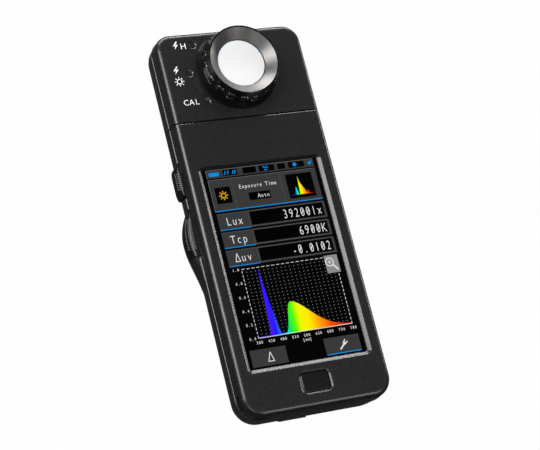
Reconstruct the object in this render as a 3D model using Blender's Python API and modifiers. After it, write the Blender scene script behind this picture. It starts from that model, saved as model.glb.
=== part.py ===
"""Handheld light spectrum meter with a swivelling receptor head, lying on its back.

+X is the screen's right, +Y runs towards the head, +Z comes out of the screen. The origin is on the
back plane, half way along the meter. All lengths are in metres and all angles in degrees.
"""

import math

import bmesh
import bpy
from mathutils import Matrix, Vector

# Whole meter
BODY_WIDTH = 0.0730
BODY_LENGTH = 0.1830
HEAD_LENGTH = 0.0441
SEAM_GAP = 0.0004
PARTING_DEPTH = 0.0068
HEAD_CORNER_R = 0.0083
LOW_CORNER_R = 0.0096
FRONT_FILLET_R = 0.0022
REAR_SIDE_R = 0.0160
REAR_END_R = 0.0120
REAR_CORNER_GROW = 0.0012
WALL = 0.0020
FACE_WALL = 0.0024
PLAY = 0.0003
OVERRUN = 0.0010
CORNER_STEPS = 8
REAR_STEPS = 9
FILLET_STEPS = 4

# Screen stack
WINDOW_SIDE_GAP = 0.0078
WINDOW_TOP_GAP = 0.02315
WINDOW_LOW_GAP = 0.02145
WINDOW_R = 0.0008
WINDOW_CHAMFER = 0.0015
WINDOW_CHAMFER_DEPTH = 0.0013
WINDOW_LAND = 0.0002
PANEL_MARGIN = 0.0023
PANEL_THICK = 0.0010
GASKET_THICK = 0.0004
LCD_SIDE_MARGIN = 0.0033
LCD_END_MARGIN = 0.00285
LCD_THICK = 0.0026
LCD_BORDER = 0.0030
LCD_RECESS = 0.0003
CHASSIS_THICK = 0.0006
CHASSIS_BAR = 0.0133
BOARD_SIDE_GAP = 0.0010
BOARD_TOP_GAP = 0.0144
BOARD_THICK = 0.0012
TONGUE_WIDTH = 0.0340
TONGUE_END = 0.0055
CHIP_SIDE = 0.0130
CHIP_THICK = 0.0014
CHIP_SHARES = ((0.55, 0.25, 1.0), (-0.5, 0.1, 0.75), (-0.55, 0.6, 0.6))

# Menu button
MENU_WIDTH = 0.0134
MENU_HEIGHT = 0.0088
MENU_LOW_GAP = 0.0118
MENU_R = 0.0019
MENU_SINK = 0.0004
MENU_CHAMFER = 0.0006
MENU_HOLE_CHAMFER = 0.0007
MENU_FLANGE = 0.0009
MENU_FLANGE_THICK = 0.0008
MENU_PLUNGER = 0.0003
MENU_TRAVEL = 0.0005

# Keys in the side walls
MEASURE_LENGTH = 0.0209
MEASURE_TOP_GAP = 0.05025
MEASURE_LOW_Z = 0.0080
MEASURE_STAND = 0.0044
MEASURE_PEAK_SHIFT = 0.0032
MEMORY_LENGTH = 0.0148
MEMORY_TOP_GAP = 0.0250
MEMORY_LOW_Z = 0.0094
MEMORY_STAND = 0.0022
MEMORY_FLATNESS = 6
EDGE_STAND = 0.0003
SWELL_FADE = 0.0280
SWELL_FULLNESS = 0.6
SWELL_STEPS = 11
SWELL_SECTIONS = 12
KEY_CORNER_R = 0.0025
POWER_LENGTH = 0.0120
POWER_HEIGHT = 0.0050
POWER_TOP_GAP = 0.0274
POWER_Z = 0.0165
POWER_STAND = 0.0004
POWER_EDGE = 0.0005
POWER_R = 0.0024
KEY_DOME_STEPS = 4
KEY_FLANGE = 0.0010
KEY_FLANGE_THICK = 0.0008
KEY_FLANGE_DEPTH = 0.0012
KEY_FLANGE_HEIGHT_SHARE = 0.6
KEY_REST_GAP = 0.0008
KEY_TRAVEL = 0.0006
RIB_DEPTH = 0.0003
RIB_PITCH = 0.0012
RIB_GROOVE = 0.0005
RIB_EDGE = 0.0001
RIB_BAND = 0.0030
RIB_END_GAP = 0.0026
RAMP_LENGTH = 0.0195
RAMP_FADE = 0.0004
SWITCH_SIDE = 0.0060
SWITCH_BODY = 0.0018
SWITCH_PLUNGER = 0.0007
SWITCH_PLUNGER_R = 0.0016
SIDE_BOARD_THICK = 0.0010
SIDE_BOARD_MARGIN = 0.0040

# Sockets in the right wall
USB_WIDTH = 0.0077
USB_HEIGHT = 0.0039
USB_DEPTH = 0.0088
USB_WALL = 0.0004
USB_TONGUE = 0.0010
USB_TOP_GAP = 0.0774
FLAP_LENGTH = 0.0130
FLAP_HEIGHT = 0.0060
FLAP_THICK = 0.0008
FLAP_SINK = 0.0003
FLAP_R = 0.0015
FLAP_SHIFT = 0.0012
SYNC_TOP_GAP = 0.0954
SYNC_Z = 0.0140
SYNC_R = 0.0035
SYNC_MOUTH_R = 0.0024
SYNC_PIN_R = 0.0006
SYNC_LENGTH = 0.0080
SYNC_MOUTH_DEPTH = 0.0045
SYNC_SINK = 0.0006

# Strap channel through the lower left corner of the front cover
STRAP_HEIGHT = 0.0030
STRAP_Z = 0.0229
STRAP_POST = 0.0055
STRAP_WIDTH = 0.0062
STRAP_WALL = 0.0016

# Battery compartment and its sliding door
CELL_LOW_Z = 0.00235
CELL_R = 0.00705
CELL_LENGTH = 0.0493
CELL_X = 0.0080
NUB_R = 0.0027
NUB_LENGTH = 0.0012
TUB_LOW_GAP = 0.0070
TUB_LENGTH = 0.0568
TUB_SIDE_GAP = 0.0021
TUB_WALL = 0.0014
TUB_ROOF = 0.00115
TUB_RIB = 0.0008
TUB_RIB_DEPTH = 0.0045
CONTACT_THICK = 0.0004
CONTACT_SIDE = 0.0090
SPRING_WIRE_R = 0.0003
SPRING_WIDE_R = 0.0042
SPRING_SMALL_R = 0.0024
SPRING_TURNS = 3.5
SPRING_TURN_POINTS = 12
DOOR_HALF_WIDTH = 0.0149
DOOR_THICK = 0.0018
DOOR_END_HEIGHT = 0.0120
DOOR_TRAVEL = 0.0100
RAIL_WIDTH = 0.0015
RAIL_END = 0.0135
TAB_REACH = 0.0017
TAB_LENGTH = 0.0040
TAB_THICK = 0.0010
TAB_PITCH = 0.0170
TAB_TOP_GAP = 0.0072
TAB_COUNT = 3
GRIP_GROOVES = 6
GRIP_PITCH = 0.0022
GRIP_R = 0.0005
GRIP_LENGTH = 0.0160
GRIP_END = 0.0155
PAD_STAND = 0.0005
PAD_SIDE_GAP = 0.0005
PAD_WIDTH = 0.0122
PAD_LOW_Z = 0.0030
PAD_TOP_GAP = 0.0005

# Tripod bush in the back
BUSH_R = 0.0046
BUSH_BORE_R = 0.0027
BUSH_LENGTH = 0.0080
BUSH_TOP_GAP = 0.0294
BUSH_BOSS_WALL = 0.0018

# Screws and their posts
SCREW_HEAD_R = 0.0023
SCREW_HEAD = 0.0016
SCREW_R = 0.0011
SCREW_LENGTH = 0.0165
SCREW_SEAT_Z = 0.0062
SCREW_CLEAR = 0.0002
POST_WALL = 0.0013
SCREW_SIDE_GAP = 0.0085
SCREW_TOP_GAP = 0.0075
SCREW_SEAM_GAP = 0.0094
SCREW_TUB_GAP = 0.00465
SCREW_LOW_GAP = 0.0095

# Head swivel, turning about Y
HUB_R = 0.0075
HUB_BORE_R = 0.0050
HUB_FLANGE_R = 0.0104
HUB_FLANGE = 0.0016
HUB_END = 0.0010
HUB_GROOVE_DEPTH = 0.0008
RUNNING_GAP = 0.0002
BEARING_WALL = 0.0011
BEARING_LIP_R = 0.0101
BEARING_LIP = 0.0008
WASHER_R = 0.0103
WASHER_THICK = 0.0009
CLIP_R = 0.0093
CLIP_THICK = 0.0008
CLIP_GAP_DEG = 60.0
HARNESS_R = 0.0018
HARNESS_BLOCK_WIDTH = 0.0090
HARNESS_BLOCK_LENGTH = 0.0050
HARNESS_BLOCK_WALL = 0.0012
HARNESS_DEPTH = 0.0035

# Receptor, turning about Z. Heights are above the front face
RECEPTOR_TOP_GAP = 0.0206
RING_BASE_R = 0.0197
RING_EDGE_TOP = 0.0011
RING_FLARE_TOP = 0.0038
RING_BAND_R = 0.0180
RING_BAND_LOW = 0.0046
RING_BAND_TOP = 0.0083
RING_NECK_R = 0.0171
RING_NECK_TOP = 0.0104
RING_TOP_R = 0.0169
RING_HEIGHT = 0.0120
RING_LIP = 0.0003
RING_BORE_R = 0.0148
RING_SHELF = 0.0078
RING_RIBS = 18
RING_NOTCH_R = 0.0026
RING_NOTCH_DEPTH = 0.0006
RING_STEPS = 72
CORE_R = 0.0144
CORE_BORE_R = 0.0116
CORE_LEDGE_R = 0.0104
CORE_FLANGE_R = 0.0155
CORE_FLANGE = 0.0014
CORE_FLOOR = 0.0012
BEZEL_R = 0.0163
BEZEL_SEAT_R = 0.0116
BEZEL_TOP = 0.0117
BEZEL_LOW = 0.0079
BEZEL_THICK = 0.0009
DIFFUSER_LOW = 0.0062
DIFFUSER_EDGE_TOP = 0.0075
DIFFUSER_DOME = 0.0006
INDEX_DEG = 190.0
INDEX_WIDTH = 0.0046
INDEX_THICK = 0.0006
INDEX_STAND = 0.0002
PORT_OFFSET = 0.0085
PORT_R = 0.0028
DISC_R = 0.0179
DISC_THICK = 0.0010
STUB_R = 0.0016
DRIVE_R = 0.0167
DRIVE_PIN_R = 0.0006
DRIVE_DEG = 90.0
RING_TURN_DEG = 38.0
SLOT_END_DEG = 5.0
FILTER_SEAT = 0.0005
TUBE_WALL = 0.0010
BLOCK_SIDE_GAP = 0.0080
BLOCK_LENGTH = 0.0255
BLOCK_LOW_GAP = 0.0066
BLOCK_TOP_Z = 0.0110
BLOCK_CHAMFER = 0.0020
SENSOR_SIDE_GAP = 0.0020
SENSOR_LENGTH = 0.0118
SENSOR_THICK = 0.0012
PLUG_WIDTH = 0.0060
PLUG_LENGTH = 0.0040
PLUG_HEIGHT = 0.0034
PLUG_X = 0.0115
DIMPLE_CIRCLE_R = 0.0230
DIMPLE_R = 0.0015
DIMPLE_DEPTH = 0.0006

# Places worked out from the sizes above. The stack from the cells to the front face gives the depth
WINDOW_STACK = WINDOW_CHAMFER_DEPTH + WINDOW_LAND + PLAY
SCREEN_STACK = PANEL_THICK + PLAY + GASKET_THICK + PLAY + LCD_THICK + PLAY
BOARD_STACK = CHASSIS_THICK + PLAY + BOARD_THICK + PLAY
CELL_STACK = TUB_ROOF + PLAY + 2 * CELL_R + CELL_LOW_Z
BODY_DEPTH = WINDOW_STACK + SCREEN_STACK + BOARD_STACK + CELL_STACK
HALF_WIDTH = BODY_WIDTH / 2
HALF_LENGTH = BODY_LENGTH / 2
SIDE_IN_X = HALF_WIDTH - WALL
AXIS_Z = BODY_DEPTH / 2
PARTING_Z = BODY_DEPTH - PARTING_DEPTH
REAR_TOP_Z = PARTING_Z - PLAY / 2
FRONT_LOW_Z = PARTING_Z + PLAY / 2
FACE_IN_Z = BODY_DEPTH - FACE_WALL
SEAM_Y = HALF_LENGTH - HEAD_LENGTH
RECEPTOR_Y = HALF_LENGTH - RECEPTOR_TOP_GAP
WINDOW_WIDTH = BODY_WIDTH - 2 * WINDOW_SIDE_GAP
WINDOW_LENGTH = BODY_LENGTH - HEAD_LENGTH - WINDOW_TOP_GAP - WINDOW_LOW_GAP
WINDOW_Y = SEAM_Y - WINDOW_TOP_GAP - WINDOW_LENGTH / 2
MENU_Y = MENU_LOW_GAP - HALF_LENGTH
MEASURE_Y = SEAM_Y - MEASURE_TOP_GAP
MEMORY_Y = SEAM_Y - MEMORY_TOP_GAP
POWER_Y = SEAM_Y - POWER_TOP_GAP
USB_Y = SEAM_Y - USB_TOP_GAP
SYNC_Y = SEAM_Y - SYNC_TOP_GAP
BUSH_Y = SEAM_Y - BUSH_TOP_GAP
BOARD_TOP_Y = SEAM_Y - BOARD_TOP_GAP
BLOCK_LOW_Y = SEAM_Y + BLOCK_LOW_GAP
SCREW_X = HALF_WIDTH - SCREW_SIDE_GAP
TUB_HALF_WIDTH = CELL_X + CELL_R + TUB_SIDE_GAP
SCREW_LOW_X = TUB_HALF_WIDTH + TUB_WALL + SCREW_TUB_GAP
BLOCK_WIDTH = 2 * (SCREW_X - BLOCK_SIDE_GAP)
SENSOR_WIDTH = BLOCK_WIDTH - 2 * SENSOR_SIDE_GAP
BODY_SCREWS = {
    "body_screw_top_left": (-SCREW_X, SEAM_Y - SCREW_SEAM_GAP),
    "body_screw_top_right": (SCREW_X, SEAM_Y - SCREW_SEAM_GAP),
    "body_screw_low_left": (-SCREW_LOW_X, SCREW_LOW_GAP - HALF_LENGTH),
    "body_screw_low_right": (SCREW_LOW_X, SCREW_LOW_GAP - HALF_LENGTH),
}
HEAD_SCREWS = {
    "head_screw_top_left": (-SCREW_X, HALF_LENGTH - SCREW_TOP_GAP),
    "head_screw_top_right": (SCREW_X, HALF_LENGTH - SCREW_TOP_GAP),
    "head_screw_low_left": (-SCREW_X, SEAM_Y + SCREW_SEAM_GAP),
    "head_screw_low_right": (SCREW_X, SEAM_Y + SCREW_SEAM_GAP),
}
BODY_TOP_Y = SEAM_Y - SEAM_GAP / 2
HEAD_LOW_Y = SEAM_Y + SEAM_GAP / 2
PANEL_WIDTH = WINDOW_WIDTH + 2 * PANEL_MARGIN
PANEL_LENGTH = WINDOW_LENGTH + 2 * PANEL_MARGIN
REBATE_TOP_Z = BODY_DEPTH - WINDOW_CHAMFER_DEPTH - WINDOW_LAND
PANEL_TOP_Z = REBATE_TOP_Z - PLAY
PANEL_LOW_Z = PANEL_TOP_Z - PANEL_THICK
GASKET_TOP_Z = PANEL_LOW_Z - PLAY
GASKET_LOW_Z = GASKET_TOP_Z - GASKET_THICK
LCD_TOP_Z = GASKET_LOW_Z - PLAY
LCD_LOW_Z = LCD_TOP_Z - LCD_THICK
LCD_WIDTH = WINDOW_WIDTH + 2 * LCD_SIDE_MARGIN
BOARD_WIDTH = LCD_WIDTH - 2 * BOARD_SIDE_GAP
LCD_LENGTH = WINDOW_LENGTH + 2 * LCD_END_MARGIN
LCD_LOW_Y = WINDOW_Y - LCD_LENGTH / 2
LCD_TOP_Y = WINDOW_Y + LCD_LENGTH / 2
CHASSIS_TOP_Z = LCD_LOW_Z - PLAY
CHASSIS_LOW_Z = CHASSIS_TOP_Z - CHASSIS_THICK
BOARD_TOP_Z = CHASSIS_LOW_Z - PLAY
BOARD_LOW_Z = BOARD_TOP_Z - BOARD_THICK
TUB_LOW_Y = TUB_LOW_GAP - HALF_LENGTH
TUB_TOP_Y = TUB_LOW_Y + TUB_LENGTH
DOOR_TOP_Y = TUB_TOP_Y + TUB_WALL / 2
TUB_TOP_Z = BOARD_LOW_Z - PLAY
TUB_ROOF_Z = TUB_TOP_Z - TUB_ROOF
CELL_Z = TUB_ROOF_Z - PLAY - CELL_R
DISC_TOP_Z = FACE_IN_Z - PLAY - CORE_FLANGE - PLAY
DISC_LOW_Z = DISC_TOP_Z - DISC_THICK
KEY_FLANGE_OUT_X = SIDE_IN_X - KEY_FLANGE_DEPTH
SWITCH_TIP_X = KEY_FLANGE_OUT_X - KEY_FLANGE_THICK - KEY_REST_GAP
SWITCH_FACE_X = SWITCH_TIP_X - SWITCH_PLUNGER
SWITCH_BACK_X = SWITCH_FACE_X - SWITCH_BODY
WASHER_TOP_Y = BODY_TOP_Y - WALL - PLAY - BEARING_LIP - PLAY
CLIP_TOP_Y = WASHER_TOP_Y - WASHER_THICK - PLAY
HARNESS_BLOCK_TOP_Y = BOARD_TOP_Y - PLAY

# Colour, roughness and metallic value of each finish
FINISHES = {
    "shell_black": ((0.022, 0.021, 0.022), 0.42, 0.0),
    "key_black": ((0.012, 0.012, 0.012), 0.50, 0.0),
    "rubber_black": ((0.015, 0.015, 0.015), 0.75, 0.0),
    "ring_black": ((0.008, 0.008, 0.008), 0.38, 0.0),
    "index_grey": ((0.120, 0.110, 0.095), 0.45, 0.0),
    "satin_metal": ((0.300, 0.290, 0.275), 0.35, 0.8),
    "diffuser_white": ((0.850, 0.850, 0.840), 0.45, 0.0),
    "touch_glass": ((0.020, 0.020, 0.022), 0.06, 0.0),
    "screen_dark": ((0.010, 0.010, 0.012), 0.25, 0.0),
    "foam_black": ((0.020, 0.020, 0.020), 0.90, 0.0),
    "plate_steel": ((0.450, 0.450, 0.450), 0.35, 0.9),
    "board_green": ((0.020, 0.130, 0.060), 0.50, 0.0),
    "switch_grey": ((0.250, 0.250, 0.250), 0.45, 0.0),
    "brass": ((0.600, 0.420, 0.160), 0.30, 1.0),
    "spring_steel": ((0.600, 0.600, 0.600), 0.25, 1.0),
    "cell_jacket": ((0.060, 0.090, 0.160), 0.35, 0.2),
    "bush_white": ((0.700, 0.700, 0.680), 0.50, 0.0),
    "filter_grey": ((0.150, 0.150, 0.160), 0.15, 0.0),
    "screw_black": ((0.030, 0.030, 0.030), 0.35, 0.8),
}

PARTS = "spectrum_meter"
HELPERS = "spectrum_meter_cutters"


# Scene and objects


def clear_scene():
    """Removes every object and makes the two collections."""
    for old in list(bpy.data.objects):
        bpy.data.objects.remove(old, do_unlink=True)
    for name in (PARTS, HELPERS):
        bpy.context.scene.collection.children.link(bpy.data.collections.new(name))


def material(name):
    """The Principled material of this finish, made once."""
    found = bpy.data.materials.get(name)
    if found:
        return found
    colour, roughness, metallic = FINISHES[name]
    made = bpy.data.materials.new(name)
    made.use_nodes = True
    shader = made.node_tree.nodes["Principled BSDF"]
    shader.inputs["Base Color"].default_value = (*colour, 1.0)
    shader.inputs["Roughness"].default_value = roughness
    shader.inputs["Metallic"].default_value = metallic
    made.diffuse_color = (*colour, 1.0)
    return made


def add_object(name, data, finish=None, place=None):
    """A part when it has a finish, else a helper that only cuts or joins."""
    obj = bpy.data.objects.new(name, data)
    if finish:
        bpy.data.collections[PARTS].objects.link(obj)
        data.materials.append(material(finish))
    else:
        bpy.data.collections[HELPERS].objects.link(obj)
        obj.hide_render = True
        obj.display_type = "WIRE"
    if place:
        obj.matrix_world = place
    return obj


def finished_mesh(name, shape):
    """Turns a bmesh into a smooth-shaded mesh with its faces outwards."""
    bmesh.ops.recalc_face_normals(shape, faces=shape.faces)
    mesh = bpy.data.meshes.new(name)
    shape.to_mesh(mesh)
    shape.free()
    mesh.shade_smooth()
    mesh.set_sharp_from_angle(angle=math.radians(30))
    return mesh


def add_boolean(target, operation, tools):
    """Adds a Boolean of each helper to the part."""
    for tool in tools:
        step = target.modifiers.new(tool.name, "BOOLEAN")
        step.operation = operation
        step.object = tool


def cut(target, *tools):
    """Takes the helpers away from the part."""
    add_boolean(target, "DIFFERENCE", tools)


def join(target, *tools):
    """Makes the helpers one with the part."""
    add_boolean(target, "UNION", tools)


def keep_inside(target, *tools):
    """Leaves only what the part and the helper share."""
    add_boolean(target, "INTERSECT", tools)


def carry(name, place, pieces):
    """Puts an empty on a joint's axis and hangs the moving pieces on it."""
    axis = bpy.data.objects.new(name, None)
    axis.location = place
    bpy.data.collections[PARTS].objects.link(axis)
    back = Matrix.Translation(place).inverted()
    for piece in pieces:
        obj = bpy.data.objects[piece]
        obj.parent = axis
        obj.matrix_parent_inverse = back


# Places


def upright(x, y, z=0.0):
    """A place with its own axis along +Z."""
    return Matrix.Translation((x, y, z))


def along_y(z):
    """A place on the middle plane with its own axis along +Y."""
    return Matrix.Translation((0, 0, z)) @ Matrix.Rotation(math.radians(-90), 4, "X")


def out_of_side(side, y, z):
    """A place on a side wall. Its own X runs along the meter, Y up and Z out through the wall."""
    turn = Matrix(((0, 0, side, 0), (side, 0, 0, 0), (0, 1, 0, 0), (0, 0, 0, 1)))
    return Matrix.Translation((side * HALF_WIDTH, y, z)) @ turn


# Shapes


def loft(name, sections, finish=None, place=None):
    """A closed solid through sections, each a height and an anticlockwise outline of like count."""
    shape = bmesh.new()
    rings = [[shape.verts.new((x, y, height)) for x, y in outline] for height, outline in sections]
    count = len(rings[0])
    for low, high in zip(rings, rings[1:]):
        for i in range(count):
            j = (i + 1) % count
            shape.faces.new((low[i], low[j], high[j], high[i]))
    shape.faces.new(list(reversed(rings[0])))
    shape.faces.new(rings[-1])
    return add_object(name, finished_mesh(name, shape), finish, place)


def rounded_outline(width, length, radius, x=0.0, y=0.0, steps=4):
    """The outline of a rounded rectangle, anticlockwise."""
    points = []
    for quarter, (sx, sy) in enumerate(((1, 1), (-1, 1), (-1, -1), (1, -1))):
        for step in range(steps + 1):
            angle = math.radians(90 * (quarter + step / steps))
            across = sx * (width / 2 - radius) + radius * math.cos(angle)
            up = sy * (length / 2 - radius) + radius * math.sin(angle)
            points.append((x + across, y + up))
    return points


def plate(name, size, radius, heights, centre=(0.0, 0.0), finish=None, place=None):
    """A flat piece with rounded corners between two heights."""
    outline = rounded_outline(*size, radius, *centre)
    return loft(name, [(height, outline) for height in heights], finish, place)


def box(name, low, high, finish=None):
    """A block between two corners."""
    shape = bmesh.new()
    bmesh.ops.create_cube(shape, size=1)
    spread = Matrix.Diagonal((*(Vector(high) - Vector(low)), 1))
    centre = Matrix.Translation((Vector(high) + Vector(low)) / 2)
    bmesh.ops.transform(shape, matrix=centre @ spread, verts=shape.verts)
    return add_object(name, finished_mesh(name, shape), finish)


def rod(name, radius, start, end, finish=None, sides=24):
    """A plain cylinder between two points."""
    shape = bmesh.new()
    run = Vector(end) - Vector(start)
    bmesh.ops.create_cone(
        shape, cap_ends=True, segments=sides, radius1=radius, radius2=radius, depth=run.length
    )
    turn = run.to_track_quat("Z", "Y").to_matrix().to_4x4()
    centre = Matrix.Translation((Vector(start) + Vector(end)) / 2)
    bmesh.ops.transform(shape, matrix=centre @ turn, verts=shape.verts)
    return add_object(name, finished_mesh(name, shape), finish)


def turned(name, profile, place, finish=None, steps=32):
    """A turned piece. The profile runs down its outer side and back up its inner side."""
    mesh = bpy.data.meshes.new(name)
    last = len(profile) - 1
    edges = [(i, i + 1) for i in range(last)]
    if profile[0][0] > 0:
        edges.append((last, 0))
    mesh.from_pydata([(radius, 0, height) for radius, height in profile], edges, [])
    obj = add_object(name, mesh, finish, place)
    screw = obj.modifiers.new("Turn", "SCREW")
    screw.angle = math.radians(360)
    screw.steps = steps
    screw.render_steps = steps
    screw.use_merge_vertices = True
    screw.merge_threshold = 0.00001
    return obj


def wire(name, points, radius, finish, resolution=1):
    """A round wire or cable through points."""
    curve = bpy.data.curves.new(name, "CURVE")
    curve.dimensions = "3D"
    curve.bevel_depth = radius
    curve.bevel_resolution = resolution
    curve.use_fill_caps = True
    spline = curve.splines.new("POLY")
    spline.points.add(len(points) - 1)
    for point, place in zip(spline.points, points):
        point.co = (*place, 1)
    return add_object(name, curve, finish)


def smooth_route(points, steps):
    """Points along a smooth curve through the route's own points."""
    route = []
    ends = [points[0], *points, points[-1]]
    for a, b, c, d in zip(ends, ends[1:], ends[2:], ends[3:]):
        a, b, c, d = Vector(a), Vector(b), Vector(c), Vector(d)
        square = a * 2 - b * 5 + c * 4 - d
        cube = b * 3 - a - c * 3 + d
        for step in range(steps):
            t = step / steps
            route.append(b + ((c - a) * t + square * t**2 + cube * t**3) / 2)
    route.append(Vector(points[-1]))
    return route


# The meter's outer form


def edge_inset(height, radius):
    """How far a rounded edge lies inside its wall, at a height above the face that it rounds into."""
    if height >= radius:
        return 0.0
    return radius - math.sqrt(radius**2 - (radius - max(height, 0.0)) ** 2)


def end_outline(half_width, reach, flat, corner, side):
    """An outline with a square near end and two rounded corners at its far end."""
    points = [(half_width, flat)]
    for quarter, sign in ((0, 1), (1, -1)):
        for step in range(CORNER_STEPS + 1):
            angle = math.radians(90 * (quarter + step / CORNER_STEPS))
            across = sign * (half_width - corner) + corner * math.cos(angle)
            points.append((across, reach - corner + corner * math.sin(angle)))
    points.append((-half_width, flat))
    return [(side * x, side * y) for x, y in points]


def form_section(z, offset, flat, side, front_inset=0.0):
    """The meter's outline at one height, moved inwards by an offset."""
    inset = offset + front_inset
    side_inset = edge_inset(z - offset, REAR_SIDE_R - offset)
    end_inset = edge_inset(z - offset, REAR_END_R - offset)
    front_corner = HEAD_CORNER_R if side > 0 else LOW_CORNER_R
    corner = front_corner - inset + REAR_CORNER_GROW * (1 - z / BODY_DEPTH)
    half_width = HALF_WIDTH - inset - side_inset
    return z, end_outline(half_width, HALF_LENGTH - inset - end_inset, flat, corner, side)


def rear_sections(offset, flat, side, top):
    """Sections of the rounded back, up to a height."""
    radius = REAR_SIDE_R - offset
    turns = [math.radians(90 * i / REAR_STEPS) for i in range(REAR_STEPS + 1)]
    heights = [offset + radius * (1 - math.cos(turn)) for turn in turns]
    low = [form_section(z, offset, flat, side) for z in heights if z < top - OVERRUN / 2]
    return [*low, form_section(top, offset, flat, side)]


def front_sections(flat, side):
    """Sections of the straight side and the filleted front."""
    sections = [form_section(FRONT_LOW_Z, 0.0, flat, side)]
    for step in range(FILLET_STEPS + 1):
        angle = math.radians(90 * step / FILLET_STEPS)
        z = BODY_DEPTH - FRONT_FILLET_R * (1 - math.sin(angle))
        sections.append(form_section(z, 0.0, flat, side, FRONT_FILLET_R * (1 - math.cos(angle))))
    return sections


def floor_height(x):
    """The height of the back's inner side at a distance from the middle."""
    beyond = max(abs(x) - (HALF_WIDTH - REAR_SIDE_R), 0.0)
    return REAR_SIDE_R - math.sqrt((REAR_SIDE_R - WALL) ** 2 - beyond**2)


def rear_shell(name, flat_y, side, kept, outside=()):
    """The back half of a housing. Helpers in kept stay solid inside it, those outside are added."""
    flat = side * flat_y
    shell = loft(name, rear_sections(0.0, flat, side, REAR_TOP_Z), "shell_black")
    hollow = loft(name + "_hollow", rear_sections(WALL, flat + WALL, side, REAR_TOP_Z + OVERRUN))
    cut(hollow, *kept)
    join(shell, *outside)
    cut(shell, hollow)
    return shell


def front_shell(name, flat_y, side, kept):
    """The front half of a housing. Helpers in kept stay solid inside it."""
    flat = side * flat_y
    shell = loft(name, front_sections(flat, side), "shell_black")
    low = form_section(FRONT_LOW_Z - OVERRUN, WALL, flat + WALL, side)
    top = form_section(FACE_IN_Z, WALL, flat + WALL, side)
    hollow = loft(name + "_hollow", [low, top])
    cut(hollow, *kept)
    cut(shell, hollow)
    return shell


# Screws


def screw_tip_z():
    """The height of a screw's tip."""
    return SCREW_SEAT_Z - PLAY + SCREW_LENGTH


def screw_posts(screws, part, radius, low, high):
    """Posts that stay solid inside a half of the housing."""
    return [rod(f"{name}_{part}_post", radius, (x, y, low), (x, y, high)) for name, (x, y) in screws.items()]


def rear_posts(screws):
    """The back half's posts, wide enough for the heads."""
    return screw_posts(screws, "rear", SCREW_HEAD_R + PLAY + POST_WALL, -OVERRUN, REAR_TOP_Z + 2 * OVERRUN)


def front_posts(screws):
    """The front half's posts, which the screws bite into."""
    return screw_posts(screws, "front", SCREW_R + SCREW_CLEAR + POST_WALL, 0.0, BODY_DEPTH)


def bore_posts(front, rear, screws):
    """Wells for the heads in the back half, clearance holes, and pilot holes in the front half."""
    for name, (x, y) in screws.items():
        radius = SCREW_R + SCREW_CLEAR
        cut(
            rear,
            rod(name + "_well", SCREW_HEAD_R + PLAY, (x, y, -OVERRUN), (x, y, SCREW_SEAT_Z)),
            rod(name + "_bore", radius, (x, y, 0), (x, y, REAR_TOP_Z + OVERRUN)),
        )
        cut(front, rod(name + "_pilot", radius, (x, y, 0), (x, y, screw_tip_z() + PLAY)))


def make_screws(screws):
    """Pan-head screws driven from the back."""
    seat = SCREW_SEAT_Z - PLAY
    chamfer = SCREW_HEAD / 3
    for name, (x, y) in screws.items():
        profile = [
            (0, screw_tip_z()),
            (SCREW_R / 2, screw_tip_z()),
            (SCREW_R, screw_tip_z() - SCREW_R / 2),
            (SCREW_R, seat),
            (SCREW_HEAD_R, seat),
            (SCREW_HEAD_R, seat - SCREW_HEAD + chamfer),
            (SCREW_HEAD_R - chamfer, seat - SCREW_HEAD),
            (0, seat - SCREW_HEAD),
        ]
        turned(name, profile, upright(x, y), "screw_black", 12)


# Keys, switches and their openings


def side_x(z):
    """How far the outer side lies from the middle plane at a height."""
    return HALF_WIDTH - edge_inset(z, REAR_SIDE_R)


def measure_stand(y):
    """How far the measuring button, and the ramp below it, stand out at a place along the meter."""
    peak_y = MEASURE_Y - MEASURE_PEAK_SHIFT
    if y > peak_y:
        share = (y - peak_y) / (MEASURE_LENGTH / 2 + MEASURE_PEAK_SHIFT)
        return MEASURE_STAND - (MEASURE_STAND - EDGE_STAND) * share**2
    share = min((peak_y - y) / SWELL_FADE, 1.0)
    return MEASURE_STAND * (1 - share**2 * (3 - 2 * share))


def memory_stand(y):
    """How far the memory button stands out at a place along the meter."""
    share = min(abs(y - MEMORY_Y) / (MEMORY_LENGTH / 2), 1.0)
    return EDGE_STAND + (MEMORY_STAND - EDGE_STAND) * math.sqrt(1 - share**MEMORY_FLATNESS)


def plain_stations(low_y, high_y):
    """Places along the meter for a plain swelling's sections, closer together at its ends."""
    turns = [math.radians(180 * i / SWELL_SECTIONS) for i in range(SWELL_SECTIONS + 1)]
    return [(low_y + (high_y - low_y) * (1 - math.cos(turn)) / 2, 0.0) for turn in turns]


def ribbed_stations(low_y, high_y):
    """Places along the meter, each with its groove depth, for a swelling with a ribbed band."""
    count = int((high_y - low_y - 2 * RIB_END_GAP) / RIB_PITCH)
    middle = (low_y + high_y) / 2
    reach = RIB_GROOVE / 2
    stations = []
    for i in range(count + 1):
        y = middle + (i - count / 2) * RIB_PITCH
        stations += [(y - reach - RIB_EDGE, 0.0), (y - reach, RIB_DEPTH), (y + reach, RIB_DEPTH)]
        stations.append((y + reach + RIB_EDGE, 0.0))
    first, last = stations[0][0], stations[-1][0]
    shares = (0.0, 0.15, 0.4, 0.7)
    low_end = [(low_y + (first - low_y) * share, 0.0) for share in shares]
    high_end = [(high_y - (high_y - last) * share, 0.0) for share in reversed(shares)]
    return low_end + stations + high_end


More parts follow.
